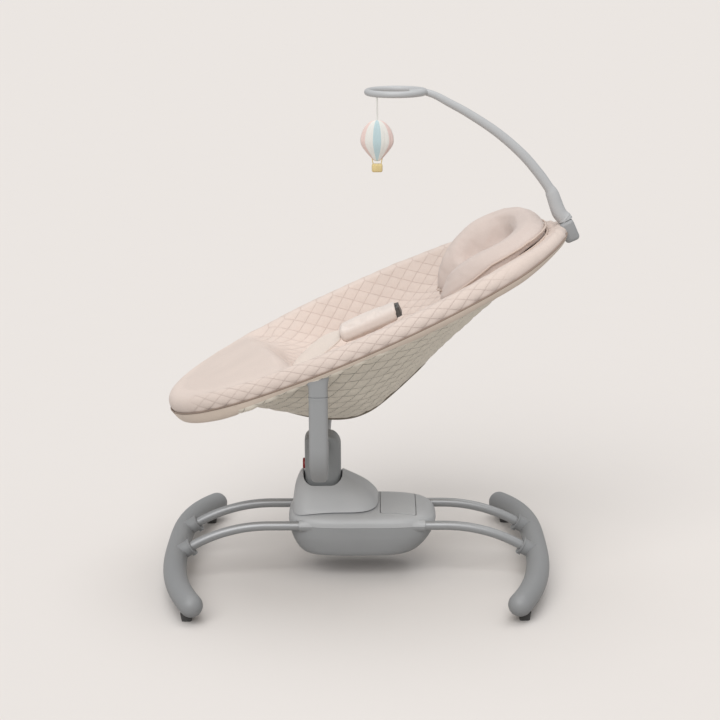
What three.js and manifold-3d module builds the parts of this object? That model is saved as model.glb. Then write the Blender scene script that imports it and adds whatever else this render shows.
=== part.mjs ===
// Electric baby swing: a bucket seat on a fork, a post that swings from side to side inside a
// moulded drive housing, and two C-shaped legs joined to the housing by four bent tubes.
// Millimetres. +Z is up, +X points at the head end of the seat, -Y is the near side.
import * as THREE from 'three';
import { mergeVertices } from 'three/addons/utils/BufferGeometryUtils.js';
import Module from 'manifold-3d';

const wasm = await Module();
wasm.setup();

// ---------- driving dimensions ----------
const gap = 0.3; // clearance between pieces that touch
const runningGap = 0.6; // clearance between pieces that move past each other

const overallHeight = 790;
const baseDepth = 560; // front to back over the legs
const baseLength = 625; // left to right over the legs

const legRadius = 18.5;
const legBow = 42; // how far each leg's middle stands outside its ends
const legBowPower = 3.0;
const legMiddleHeight = 40; // centre of the leg above the floor
const legEndHeight = 29;
const footPadLength = 26;
const footPadWidth = 20;
const footPadInset = 18; // from the end of the leg to the middle of its pad

const tubeRadius = 7.5;
const tubeSpacing = 125; // between the near and the far tube
const tubeHeight = 91.5; // centre of the level stretch
const tubeBendRadius = 250;
const tubeSlopeDeg = 30; // fall of a tube where it enters its sleeve
const sleeveWall = 4.5;
const sleeveLength = 14; // beyond the leg's inner face
const sleeveLip = 1.3;
const tubeInsertion = 25;

const housingLeft = -111;
const housingRight = 130;
const housingHalfDepth = 78;
const housingBottom = 40;
const housingTop = 119;
const housingWall = 2.8;

const hoodTop = 168;
const swingAxisHeight = 80;
const swingAngleDeg = 7;
const postCentre = -54.5; // X of the post, the fork and the two rim stubs
const postLength = 59; // along X
const postThickness = 50; // along Y
const postTop = 232;
const axleRadius = 6;
const bushWall = 3;

const buttonRadius = 9;
const buttonTravel = 2.5;

const forkWidth = 29; // along X, at the prongs
const forkWaist = 22; // along X, where it crosses the post
const forkThickness = 24;
const forkSpread = 464; // between the prongs' centre lines
const forkFloor = 202; // underside of the cross bar
const forkTop = 351;
const forkBend = 55;

const seatTiltDeg = 23.8;
const seatCentre = [19.6, 427]; // X and Z of the ring's middle
const ringHalfLength = 334;
const ringHalfWidth = 238;
const ringPower = 2;
const ringTubeRadius = 8;
const rimRadius = 17; // outside of the padded rim round the ring

const loopLength = 100;
const loopWidth = 104;
const loopRadius = 5.2;

const rad = THREE.MathUtils.degToRad;
const toothModule = 1.25;
const sectorTeeth = 72; // a full wheel would have this many
const pinionTeeth = 12;

// ---------- materials ----------
function finish(color, roughness, metalness = 0) {
  return new THREE.MeshStandardMaterial({ color, roughness, metalness });
}
const greyPlastic = () => finish(0x8f9091, 0.45);
const darkGreyPlastic = () => finish(0x77797b, 0.5);
const steelTube = () => finish(0xa9abad, 0.28, 0.9);
const darkSteel = () => finish(0x5c5e60, 0.4, 0.9);
const blackRubber = () => finish(0x222222, 0.85);
const liningFabric = () => finish(0xdccabf, 0.9);
const pouchFabric = () => finish(0xaba496, 0.95);

// ---------- helpers ----------
const swing = new THREE.Group();

function addMesh(parent, name, geometry, material) {
  const mesh = new THREE.Mesh(geometry, material);
  mesh.name = name;
  parent.add(mesh);
  return mesh;
}

// A closed three.js geometry becomes a manifold-3d solid, for joining and cutting.
function solid(geometry) {
  const bare = geometry.clone();
  for (const key of Object.keys(bare.attributes)) {
    if (key !== 'position') bare.deleteAttribute(key);
  }
  const merged = mergeVertices(bare, 1e-4);
  return new wasm.Manifold(
    new wasm.Mesh({
      numProp: 3,
      vertProperties: new Float32Array(merged.attributes.position.array),
      triVerts: new Uint32Array(merged.index.array),
    }),
  );
}

// Slivers finer than the tolerance are merged away.
function geometryOf(manifold, tolerance = 0.12) {
  const mesh = manifold.simplify(tolerance).getMesh();
  const geometry = new THREE.BufferGeometry();
  geometry.setAttribute('position', new THREE.BufferAttribute(mesh.vertProperties, 3));
  geometry.setIndex(new THREE.BufferAttribute(mesh.triVerts, 1));
  geometry.computeVertexNormals();
  return geometry;
}

function join(first, ...others) {
  return geometryOf(others.reduce((body, g) => body.add(solid(g)), solid(first)));
}

function cut(first, ...others) {
  return geometryOf(others.reduce((body, g) => body.subtract(solid(g)), solid(first)));
}

// Skins a row of rings that all have the same number of points. The ends are capped, or, when
// the row runs round on itself, the last ring is joined to the first.
function loft(rings, roundOnItself = false) {
  const count = rings[0].length;
  const positions = rings.flat().flatMap((p) => [p.x, p.y, p.z]);
  const index = [];
  const rows = roundOnItself ? rings.length : rings.length - 1;
  for (let i = 0; i < rows; i += 1) {
    const low = i * count;
    const high = ((i + 1) % rings.length) * count;
    for (let j = 0; j < count; j += 1) {
      const next = (j + 1) % count;
      index.push(low + j, low + next, high + next, low + j, high + next, high + j);
    }
  }
  if (!roundOnItself) {
    const ends = [rings[0], rings[rings.length - 1]];
    ends.forEach((ring, side) => {
      const centre = ring.reduce((sum, p) => sum.add(p), new THREE.Vector3());
      centre.divideScalar(count);
      positions.push(centre.x, centre.y, centre.z);
      const hub = positions.length / 3 - 1;
      const start = side === 0 ? 0 : (rings.length - 1) * count;
      for (let j = 0; j < count; j += 1) {
        const next = (j + 1) % count;
        if (side === 0) index.push(hub, start + next, start + j);
        else index.push(hub, start + j, start + next);
      }
    });
  }
  const geometry = new THREE.BufferGeometry();
  geometry.setAttribute('position', new THREE.Float32BufferAttribute(positions, 3));
  geometry.setIndex(index);
  return facingOut(geometry);
}

// Turns every triangle over when the surface encloses a negative volume.
function facingOut(geometry) {
  const p = geometry.attributes.position;
  const index = geometry.index.array;
  const [a, b, c] = [new THREE.Vector3(), new THREE.Vector3(), new THREE.Vector3()];
  let volume = 0;
  for (let i = 0; i < index.length; i += 3) {
    a.fromBufferAttribute(p, index[i]);
    b.fromBufferAttribute(p, index[i + 1]);
    c.fromBufferAttribute(p, index[i + 2]);
    volume += a.dot(b.cross(c));
  }
  if (volume < 0) {
    for (let i = 0; i < index.length; i += 3) {
      [index[i + 1], index[i + 2]] = [index[i + 2], index[i + 1]];
    }
  }
  geometry.computeVertexNormals();
  return geometry;
}

// One point of a superellipse: power 2 is an ellipse, more is squarer, less is more pointed.
function superPoint(angle, halfX, halfY, power) {
  const c = Math.cos(angle);
  const s = Math.sin(angle);
  return [
    halfX * Math.sign(c) * Math.abs(c) ** (2 / power),
    halfY * Math.sign(s) * Math.abs(s) ** (2 / power),
  ];
}

// A level superellipse ring between two X values.
function levelRing(z, left, right, halfDepth, power, count = 24) {
  const ring = [];
  for (let i = 0; i < count; i += 1) {
    const [x, y] = superPoint((2 * Math.PI * i) / count, (right - left) / 2, halfDepth, power);
    ring.push(new THREE.Vector3((left + right) / 2 + x, y, z));
  }
  return ring;
}

function roundTube(curve, radius, steps, sides = 16) {
  const section = new THREE.Shape();
  section.absarc(0, 0, radius, 0, 2 * Math.PI);
  return new THREE.ExtrudeGeometry(section, {
    extrudePath: curve,
    steps,
    curveSegments: sides / 2,
    bevelEnabled: false,
  });
}

// A cylinder between two points.
function rod(from, to, radius, sides = 16) {
  const axis = new THREE.Vector3().subVectors(to, from);
  const geometry = new THREE.CylinderGeometry(radius, radius, axis.length(), sides);
  geometry.applyQuaternion(
    new THREE.Quaternion().setFromUnitVectors(new THREE.Vector3(0, 1, 0), axis.clone().normalize()),
  );
  geometry.translate(...new THREE.Vector3().addVectors(from, to).multiplyScalar(0.5).toArray());
  return geometry;
}

function box(sizeX, sizeY, sizeZ, x, y, z) {
  return new THREE.BoxGeometry(sizeX, sizeY, sizeZ).translate(x, y, z);
}

// A plate with round corners, lying in XY and rising along +Z from zero.
function roundedPlate(sizeX, sizeY, height, corner) {
  const x = sizeX / 2;
  const y = sizeY / 2;
  const shape = new THREE.Shape();
  shape.moveTo(-x + corner, -y);
  shape.lineTo(x - corner, -y);
  shape.absarc(x - corner, -y + corner, corner, -Math.PI / 2, 0);
  shape.lineTo(x, y - corner);
  shape.absarc(x - corner, y - corner, corner, 0, Math.PI / 2);
  shape.lineTo(-x + corner, y);
  shape.absarc(-x + corner, y - corner, corner, Math.PI / 2, Math.PI);
  shape.lineTo(-x, -y + corner);
  shape.absarc(-x + corner, -y + corner, corner, Math.PI, 1.5 * Math.PI);
  return new THREE.ExtrudeGeometry(shape, { depth: height, bevelEnabled: false, curveSegments: 4 });
}

function vec(x, y, z) {
  return new THREE.Vector3(x, y, z);
}

const sides = [['left', -1], ['right', 1]];
const rows = [['near', -1], ['far', 1]];

// ---------- legs, tubes and feet ----------
const legEndY = baseDepth / 2 - legRadius;
const legMiddleX = baseLength / 2 - legRadius;

function legPoint(side, t) {
  return vec(
    side * (legMiddleX - legBow * Math.abs(t) ** legBowPower),
    legEndY * t,
    legMiddleHeight - (legMiddleHeight - legEndHeight) * t * t,
  );
}

const tubeSlope = rad(tubeSlopeDeg);
const tubeY = tubeSpacing / 2;
const legInnerAtTube = Math.abs(legPoint(1, tubeY / legEndY).x) - legRadius;
const sleeveMouthX = legInnerAtTube - sleeveLength * Math.cos(tubeSlope) + 4;
const bendDrop = tubeBendRadius * (1 - Math.cos(tubeSlope));
const bendRun = tubeBendRadius * Math.sin(tubeSlope);
const sleeveMouthZ = tubeHeight - bendDrop;
const bendStartX = sleeveMouthX - bendRun;
const tubeInnerEnd = { left: 60, right: 72 }; // |X| of the ends held inside the housing

// Distance s from the sleeve's mouth down the straight, sloping end of a tube.
function alongSleeve(side, row, s, lift = 0) {
  return vec(
    side * (sleeveMouthX + s * Math.cos(tubeSlope) + lift * Math.sin(tubeSlope)),
    row * tubeY,
    sleeveMouthZ - s * Math.sin(tubeSlope) + lift * Math.cos(tubeSlope),
  );
}

function baseTubeCurve(side, row, innerEnd) {
  const level = new THREE.LineCurve3(
    vec(side * innerEnd, row * tubeY, tubeHeight),
    vec(side * bendStartX, row * tubeY, tubeHeight),
  );
  const bend = new THREE.CatmullRomCurve3(
    [0, 0.25, 0.5, 0.75, 1].map((t) => vec(
      side * (bendStartX + tubeBendRadius * Math.sin(t * tubeSlope)),
      row * tubeY,
      tubeHeight - tubeBendRadius * (1 - Math.cos(t * tubeSlope)),
    )),
  );
  const end = new THREE.LineCurve3(
    alongSleeve(side, row, 0),
    alongSleeve(side, row, tubeInsertion - gap),
  );
  const path = new THREE.CurvePath();
  path.add(level);
  path.add(bend);
  path.add(end);
  return new THREE.CatmullRomCurve3([
    ...level.getSpacedPoints(3),
    ...bend.getSpacedPoints(6).slice(1),
    end.getPoint(1),
  ]);
}

function legGeometry(side) {
  const points = [];
  for (let i = 0; i <= 16; i += 1) points.push(legPoint(side, -1 + i / 8));
  const curve = new THREE.CatmullRomCurve3(points);
  let body = solid(roundTube(curve, legRadius, 12, 12));
  for (const [, row] of rows) {
    const ball = new THREE.SphereGeometry(legRadius, 12, 6);
    body = body.add(solid(ball.translate(...legPoint(side, row).toArray())));
    const sleeveRadius = tubeRadius + gap + sleeveWall;
    const root = tubeInsertion + 10;
    body = body.add(solid(rod(
      alongSleeve(side, row, 0),
      alongSleeve(side, row, root),
      sleeveRadius,
      12,
    )));
    body = body.add(solid(rod(
      alongSleeve(side, row, 0),
      alongSleeve(side, row, 3),
      sleeveRadius + sleeveLip,
      12,
    )));
  }
  for (const [, row] of rows) {
    body = body.subtract(solid(rod(
      alongSleeve(side, row, -1),
      alongSleeve(side, row, tubeInsertion),
      tubeRadius + gap,
      10,
    )));
    const latch = latchGeometry(side, row, gap, latchTravel);
    body = body.subtract(solid(latch));
    // a flat under each end seats the rubber pad
    const flat = box(80, footPadLength * 3, 20, side * padPlace(row).x, padPlace(row).y, padTop - 10);
    body = body.subtract(solid(flat));
  }
  return geometryOf(body);
}

// The pads sit under flats cut into the leg's underside.
const padTop = legEndHeight - legRadius + 2.5;
function padPlace(row) {
  const p = legPoint(1, row * (1 - footPadInset / legEndY));
  return { x: Math.abs(p.x), y: p.y };
}

function footPadGeometry(side, row) {
  const place = padPlace(row);
  const foot = levelRing(0, -footPadWidth / 2 + 2, footPadWidth / 2 - 2, footPadLength / 2 - 2, 5, 16);
  const top = levelRing(padTop - gap, -footPadWidth / 2, footPadWidth / 2, footPadLength / 2, 5, 16);
  return loft([foot, top]).translate(side * place.x, place.y, 0);
}

// The button under each sleeve's mouth, which is pressed in to let the tube out.
const latchLength = 7; // along the sleeve
const latchWidth = 9;
const latchDepth = 4;
const latchTravel = 1.5;
const latchProud = 2.4;
function latchGeometry(side, row, grow, travel) {
  const body = new THREE.BoxGeometry(
    latchLength + 2 * grow,
    latchWidth + 2 * grow,
    latchDepth + 2 * grow + travel,
  );
  body.rotateY(side * tubeSlope);
  const surface = tubeRadius + gap + sleeveWall;
  const centre = alongSleeve(side, row, 2.5, -(surface + latchProud - (latchDepth + travel) / 2));
  return body.translate(centre.x, centre.y, centre.z);
}

const base = new THREE.Group();
swing.add(base);
for (const [sideName, side] of sides) {
  addMesh(base, `leg_${sideName}`, legGeometry(side), greyPlastic());
  for (const [rowName, row] of rows) {
    const curve = baseTubeCurve(side, row, tubeInnerEnd[sideName]);
    const name = `${sideName}_${rowName}`;
    addMesh(base, `base_tube_${name}`, roundTube(curve, tubeRadius, 10, 10), steelTube());
    addMesh(base, `foot_pad_${name}`, footPadGeometry(side, row), blackRubber());
    addMesh(base, `sleeve_latch_${name}`, latchGeometry(side, row, 0, 0), darkGreyPlastic());
  }
}

// ---------- drive housing ----------
const split = tubeHeight; // the two shells part along the tubes' centres
// Each row: share of the height from the split, then insets at left, right and both sides.
const lowerRows = [[1, 0, 0, 0], [0.58, 4, 8, 2], [0.3, 10, 18, 6], [0.08, 18, 31, 11], [0, 28, 44, 18]];
const upperRows = [[0, 0, 0, 0], [0.3, 0.5, 3, 1], [0.57, 4, 11, 7], [0.78, 10, 27, 22], [0.93, 16, 48, 42],
  [1, 23, 68, 62]];

function housingLoft(insets, from, to, shrink) {
  return loft(insets.map(([share, left, right, depth]) => levelRing(
    from + (to - from) * share,
    housingLeft + left + shrink,
    housingRight - right - shrink,
    housingHalfDepth - depth - shrink,
    housingPower,
  )));
}

const lowerOuter = () => solid(housingLoft(lowerRows, housingBottom, split - gap / 2, 0));
const everySecond = (list) => list.filter((row, i) => i % 2 === 0);
const lowerInner = () => solid(housingLoft(
  [[1.3, 0, 0, 0], ...lowerRows.slice(1)],
  housingBottom + housingWall,
  split,
  housingWall,
));
const upperOuter = (lift = 0) => solid(
  housingLoft(upperRows, split + gap / 2, housingTop, 0).translate(0, 0, lift),
);
const upperInner = (wall = housingWall) => solid(housingLoft(
  [[-0.3, 0, 0, 0], ...everySecond(upperRows), upperRows.at(-1)],
  split,
  housingTop - wall,
  wall,
));

function tubeChannels(radius, reach) {
  return sides.flatMap(([name, side]) => rows.map(([, row]) => solid(rod(
    vec(side * (tubeInnerEnd[name] - gap), row * tubeY, tubeHeight),
    vec(side * reach, row * tubeY, tubeHeight),
    radius,
  ))));
}

// A short fairing round each tube where it enters; its nose dies away into the housing's side.
const fairingRadius = tubeRadius + 2;
const fairingLength = 24;
const fairingProud = 1.5;
const housingPower = 3.5;
function fairings(low, high) {
  const middle = (housingLeft + housingRight) / 2;
  const half = (housingRight - housingLeft) / 2;
  const entry = half * (1 - (tubeY / housingHalfDepth) ** housingPower) ** (1 / housingPower);
  const band = solid(box(4 * half, 4 * housingHalfDepth, high - low, 0, 0, (low + high) / 2));
  return sides.flatMap(([, side]) => rows.map(([, row]) => {
    const x = middle + side * (entry + fairingProud);
    return solid(rod(
      vec(x, row * tubeY, tubeHeight),
      vec(x - side * fairingLength, row * tubeY, tubeHeight),
      fairingRadius,
    )).intersect(band);
  }));
}

// Swing bearings stand on pedestals moulded into the floor, one at each end of the post.
const bearingLength = 8;
const bearingWidth = 24;
const bearingBottom = 70;
const bearingTop = 96;
const postLeft = postCentre - postLength / 2;
const postRight = postCentre + postLength / 2;
const bearings = [
  ['left', postLeft - runningGap - 2 - bearingLength / 2],
  ['right', postRight + runningGap + 2 + bearingLength / 2],
];
const screwPlaces = [[-60, -42], [-60, 42], [24, -55], [24, 55]];
const screwRadius = 2;
const bossRadius = 5;

function housingLower() {
  const outer = lowerOuter();
  let shell = outer.subtract(lowerInner());
  for (const [name, side] of sides) {
    for (const [, row] of rows) {
      const cradle = box(18, 16, 60, side * (tubeInnerEnd[name] + 11), row * tubeY, split - 30 - gap / 2);
      shell = shell.add(solid(cradle).intersect(outer));
    }
  }
  for (const [, x] of bearings) {
    const height = bearingBottom - gap - housingBottom;
    const pedestal = box(bearingLength, bearingWidth, height, x, 0, housingBottom + height / 2);
    shell = shell.add(solid(pedestal).intersect(outer));
  }
  for (const [x, y] of screwPlaces) {
    const boss = rod(vec(x, y, housingBottom), vec(x, y, split - 6), bossRadius, 8);
    shell = shell.add(solid(boss).intersect(outer));
  }
  for (const fairing of fairings(split - 2 * fairingRadius, split - gap / 2)) shell = shell.add(fairing);
  for (const channel of tubeChannels(tubeRadius + gap, baseLength)) shell = shell.subtract(channel);
  for (const [x, y] of screwPlaces) {
    shell = shell.subtract(solid(rod(vec(x, y, 0), vec(x, y, 200), screwRadius + gap, 8)));
    shell = shell.subtract(solid(rod(vec(x, y, 0), vec(x, y, housingBottom + 14), 4, 10)));
  }
  return geometryOf(shell);
}

// ---------- battery compartment ----------
const cellRadius = 13.1; // size C
const cellLength = 50;
const cellSpacing = 2 * cellRadius + 0.6;
const bayCentre = 68;
const bayWall = 2;
const bayLength = 2 * cellSpacing + 2 * bayWall; // along X
const bayDepth = 2 * cellLength + 3 * gap + 2 * bayWall; // along Y
const bayFloor = 79;
const bayTop = 101.5;
const lidLength = 58;
const lidDepth = 120;
const lidThickness = 2.2;
const lidLeft = bayCentre - lidLength / 2;
const lidRight = bayCentre + lidLength / 2;
const lidHingeHeight = housingTop - 3;

function housingUpper() {
  const outer = upperOuter();
  let shell = outer.subtract(upperInner());
  for (const [x, y] of screwPlaces) {
    const post = rod(vec(x, y, split - 5), vec(x, y, housingTop), bossRadius, 8);
    const inside = solid(post).intersect(upperOuter().add(lowerInner()));
    shell = shell.add(inside).subtract(solid(rod(vec(x, y, 0), vec(x, y, split + 8), screwRadius - 0.3, 8)));
  }
  for (const fairing of fairings(split + gap / 2, split + 2 * fairingRadius)) shell = shell.add(fairing);
  for (const channel of tubeChannels(tubeRadius + gap, baseLength)) shell = shell.subtract(channel);
  const lidHole = roundedPlate(lidLength, lidDepth, 60, 4).translate(bayCentre, 0, split + 1);
  shell = shell.subtract(solid(lidHole));
  const slotDepth = postThickness + 2 * (housingTop - swingAxisHeight) * Math.tan(rad(swingAngleDeg)) + 6;
  const slot = roundedPlate(postLength + 6, slotDepth, 60, 12).translate(postCentre, 0, split + 4);
  return geometryOf(shell.subtract(solid(slot)));
}

function batteryLid() {
  const plan = roundedPlate(lidLength - 2 * gap, lidDepth - 2 * gap, 60, 4 - gap);
  const block = solid(plan.translate(bayCentre, 0, split + 2));
  return geometryOf(block.intersect(upperOuter()).subtract(upperInner(lidThickness)));
}

function batteryBay() {
  const outer = box(bayLength, bayDepth, bayTop - bayFloor, bayCentre, 0, (bayTop + bayFloor) / 2);
  const inner = box(
    bayLength - 2 * bayWall,
    bayDepth - 2 * bayWall,
    bayTop - bayFloor,
    bayCentre,
    0,
    (bayTop + bayFloor) / 2 + bayWall,
  );
  return cut(outer, inner);
}

addMesh(base, 'housing_lower', housingLower(), greyPlastic());
addMesh(base, 'housing_upper', housingUpper(), greyPlastic());
addMesh(base, 'battery_bay', batteryBay(), darkGreyPlastic());
addMesh(swing, 'battery_lid', batteryLid(), greyPlastic());
const cellHeight = bayFloor + bayWall + gap + cellRadius;
[[-1, -1], [-1, 1], [1, -1], [1, 1]].forEach(([sideX, sideY], i) => {
  const y = sideY * (cellLength + gap) / 2;
  const half = (cellLength - gap) / 2;
  const x = bayCentre + sideX * cellSpacing / 2;
  const cell = rod(vec(x, y - half, cellHeight), vec(x, y + half, cellHeight), cellRadius - gap / 2, 16);
  addMesh(base, `battery_cell_${i + 1}`, cell, finish(0xb08a3c, 0.35, 0.6));
});

screwPlaces.forEach(([x, y], i) => {
  const head = housingBottom + 13.7;
  const shank = rod(vec(x, y, head - 0.1), vec(x, y, split + 6), screwRadius - 0.6, 8);
  const cap = rod(vec(x, y, head - 2.6), vec(x, y, head), 3.6, 10);
  addMesh(base, `housing_screw_${i + 1}`, join(cap, shank), darkSteel());
});

addMesh(base, 'circuit_board', box(52, 70, 1.6, 74, 0, 76.2), finish(0x2e6a45, 0.5));
addMesh(base, 'speaker', rod(vec(56, 0, housingBottom + housingWall + 3), vec(56, 0, housingBottom + housingWall + 15), 19, 16), finish(0x2a2a2a, 0.6));

// ---------- swing drive ----------
const sectorRadius = (toothModule * sectorTeeth) / 2;
const pinionRadius = (toothModule * pinionTeeth) / 2;
const gearPlay = 0.25;
const pinionY = sectorRadius + pinionRadius + gearPlay;
const gearWidth = 8;
const gearLeft = postRight + 2 * runningGap + bearingLength + 6;
const pressureAngle = rad(20);

// Half the angle of an involute tooth at a radius, less the play between the flanks.
function halfTooth(teeth, radius) {
  const pitch = (toothModule * teeth) / 2;
  const baseRadius = pitch * Math.cos(pressureAngle);
  const involute = (angle) => Math.tan(angle) - angle;
  const here = radius > baseRadius ? Math.acos(baseRadius / radius) : 0;
  return Math.PI / (2 * teeth) + involute(pressureAngle) - involute(here) - gearPlay / 2 / pitch;
}

// Tooth outline points round the angle of the tooth's middle, from one root to the other.
function toothPoints(teeth, middle) {
  const pitch = (toothModule * teeth) / 2;
  const root = pitch - 1.2 * toothModule;
  const tip = pitch + 0.8 * toothModule;
  const radii = [root, pitch - 0.3 * toothModule, pitch + 0.3 * toothModule, tip];
  const rise = radii.map((r) => [r, middle - halfTooth(teeth, r)]);
  const fall = [...radii].reverse().map((r) => [r, middle + halfTooth(teeth, r)]);
  return [...rise, ...fall].map(([r, a]) => new THREE.Vector2(r * Math.cos(a), r * Math.sin(a)));
}

// Extrudes an outline drawn in the YZ plane along +X.
function extrudeAlongX(shape, length, x) {
  const geometry = new THREE.ExtrudeGeometry(shape, { depth: length, bevelEnabled: false });
  geometry.rotateY(Math.PI / 2).rotateX(Math.PI / 2);
  return geometry.translate(x, 0, 0);
}

function sectorGear() {
  const half = 4; // teeth each side of the middle one
  const points = [];
  const pitchAngle = (2 * Math.PI) / sectorTeeth;
  for (let i = -half; i <= half; i += 1) points.push(...toothPoints(sectorTeeth, i * pitchAngle));
  const shape = new THREE.Shape([...points, new THREE.Vector2(4, 9), new THREE.Vector2(4, -9)]);
  const web = extrudeAlongX(shape, gearWidth, gearLeft);
  const hub = rod(vec(gearLeft, 0, 0), vec(gearLeft + gearWidth, 0, 0), 13, 24);
  const bore = rod(vec(gearLeft - 1, 0, 0), vec(gearLeft + gearWidth + 1, 0, 0), axleRadius + gap, 20);
  return geometryOf(solid(join(web, hub)).subtract(solid(bore))).translate(0, 0, swingAxisHeight);
}

function drivePinion() {
  const points = [];
  for (let i = 0; i < pinionTeeth; i += 1) {
    points.push(...toothPoints(pinionTeeth, Math.PI + ((i + 0.5) * 2 * Math.PI) / pinionTeeth));
  }
  const wheel = extrudeAlongX(new THREE.Shape(points), gearWidth + 1, gearLeft - 0.5);
  const shaft = rod(vec(gearLeft - 3.2, 0, 0), vec(gearLeft + gearWidth + 3, 0, 0), 2, 10);
  return join(wheel, shaft).translate(0, pinionY, swingAxisHeight);
}

const gearboxRight = gearLeft - 3.5;
const gearboxLength = 12;
const motorLength = 28;
function gearboxGeometry() {
  const middle = gearboxRight - gearboxLength / 2;
  const drum = rod(
    vec(gearboxRight - gearboxLength, pinionY, swingAxisHeight),
    vec(gearboxRight, pinionY, swingAxisHeight),
    11.5,
  );
  const foot = box(gearboxLength, 20, 10, middle, pinionY - 4, swingAxisHeight - 12);
  return join(drum, foot);
}

for (const [name, x] of bearings) {
  const block = box(
    bearingLength,
    bearingWidth,
    bearingTop - bearingBottom,
    x,
    0,
    (bearingTop + bearingBottom) / 2,
  );
  const outerRadius = axleRadius + runningGap + bushWall;
  const [from, to] = [x - bearingLength / 2, x + bearingLength / 2];
  const axisRod = (radius, grow) => rod(
    vec(from - grow, 0, swingAxisHeight),
    vec(to + grow, 0, swingAxisHeight),
    radius,
  );
  addMesh(base, `bearing_block_${name}`, cut(block, axisRod(outerRadius + gap, 1)), darkGreyPlastic());
  const bush = cut(axisRod(outerRadius, 0), axisRod(axleRadius + runningGap, 1));
  addMesh(base, `swing_bush_${name}`, bush, finish(0xb99a5a, 0.35, 0.8));
}
addMesh(base, 'motor_gearbox', gearboxGeometry(), darkGreyPlastic());
const motorEnd = gearboxRight - gearboxLength - gap;
addMesh(base, 'drive_motor', rod(
  vec(motorEnd - motorLength, pinionY, swingAxisHeight),
  vec(motorEnd, pinionY, swingAxisHeight),
  11,
), steelTube());
addMesh(swing, 'drive_pinion', drivePinion(), finish(0xe6e2d6, 0.5));
addMesh(swing, 'sector_gear', sectorGear(), finish(0xe6e2d6, 0.5));
const axleEnds = [bearings[0][1] - bearingLength / 2 - 1.5, gearLeft + gearWidth + 4];
addMesh(swing, 'swing_axle', rod(
  vec(axleEnds[0], 0, swingAxisHeight),
  vec(axleEnds[1], 0, swingAxisHeight),
  axleRadius,
), steelTube());

// ---------- hood ----------
const hoodLeft = -105;
const hoodRight = 38;
const hoodHalfDepth = 65;
const hoodBase = 104;
const hoodWall = 2.8;
const hoodShadowGap = 1.8;
// Each row: height share, then insets at left, right and both sides.
const hoodRows = [[0, 0, 0, 0], [0.18, 0, 0, 1], [0.42, 2, 5, 11], [0.65, 5, 21, 22], [0.85, 10, 44, 34],
  [1, 17, 64, 47]];

function hoodLoft(shrink, drop, table = hoodRows) {
  return solid(loft(table.map(([share, left, right, depth]) => levelRing(
    hoodBase + (hoodTop - drop - hoodBase) * share - (share === 0 ? drop : 0),
    hoodLeft + left + shrink,
    hoodRight - right - shrink,
    hoodHalfDepth - depth - shrink,
    4.5,
    24,
  ))));
}

function hoodGeometry() {
  // the skirt's inner half stands on the housing and its outer half leaves a shadow gap
  const shadow = upperOuter(hoodShadowGap).subtract(hoodLoft(hoodWall / 2, 0, hoodRows.slice(0, 3)));
  const skin = hoodLoft(0, 0)
    .subtract(hoodLoft(hoodWall, hoodWall, [...everySecond(hoodRows), hoodRows.at(-1)]))
    .subtract(shadow)
    .subtract(upperOuter(gap));
  const slot = roundedPlate(postLength + 5, 74, 200, 18).translate(postCentre, 0, 0);
  return geometryOf(skin.subtract(solid(slot)));
}
addMesh(base, 'hood', hoodGeometry(), greyPlastic());

// ---------- post, fork and release button ----------
const buttonHeight = 179;
const buttonProud = 3.5;
const buttonLength = 12;
const postBottom = 67;
const postCorner = 13;

function postGeometry() {
  const side = new THREE.Shape();
  side.moveTo(postLeft, postBottom);
  side.lineTo(postRight, postBottom);
  side.lineTo(postRight, postTop - 22);
  side.quadraticCurveTo(postRight, postTop, postRight - 20, postTop);
  side.lineTo(postLeft + 10, postTop);
  side.quadraticCurveTo(postLeft, postTop, postLeft, postTop - 11);
  const slab = new THREE.ExtrudeGeometry(side, { depth: 100, bevelEnabled: false, curveSegments: 6 });
  slab.rotateX(Math.PI / 2).translate(0, 50, 0);
  const plan = roundedPlate(postLength, postThickness, postTop + postCorner, postCorner).translate(postCentre, 0, 0);
  const window = box(
    forkWaist + 2 * gap,
    100,
    forkThickness + 2 * gap,
    postCentre,
    0,
    forkFloor + forkThickness / 2,
  );
  const bore = rod(vec(-150, 0, swingAxisHeight), vec(50, 0, swingAxisHeight), axleRadius + gap);
  const pocket = rod(
    vec(postLeft - 5, 0, buttonHeight),
    vec(postLeft + buttonLength - buttonProud + buttonTravel + gap, 0, buttonHeight),
    buttonRadius + 0.4,
  );
  const body = solid(slab).intersect(solid(plan));
  return geometryOf(body.subtract(solid(window)).subtract(solid(bore)).subtract(solid(pocket)));
}

// The fork is one tube bent to a U; each station is [y, z, turn of the section, width].
function forkStations() {
  const reach = forkSpread / 2;
  const floorCentre = forkFloor + forkThickness / 2;
  const stations = [[reach, forkTop, 90, forkWidth], [reach, floorCentre + forkBend + 30, 90, forkWidth]];
  for (let turn = 90; turn >= 0; turn -= 22.5) {
    const a = rad(turn);
    const width = THREE.MathUtils.lerp(forkWaist + 2, forkWidth, turn / 90);
    stations.push([
      reach - forkBend + forkBend * Math.sin(a),
      floorCentre + forkBend - forkBend * Math.cos(a),
      turn,
      width,
    ]);
  }
  stations.push([postThickness / 2 + 12, floorCentre, 0, forkWaist], [0, floorCentre, 0, forkWaist]);
  return stations;
}

function forkRing(y, z, turnDeg, width, thickness, mirror) {
  const ring = [];
  const a = rad(turnDeg);
  for (let i = 0; i < 12; i += 1) {
    const [across, out] = superPoint((2 * Math.PI * (i + 0.5)) / 12, width / 2, thickness / 2, 4);
    ring.push(vec(postCentre + across, mirror * (y + out * Math.sin(a)), z - out * Math.cos(a)));
  }
  return ring;
}

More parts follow.
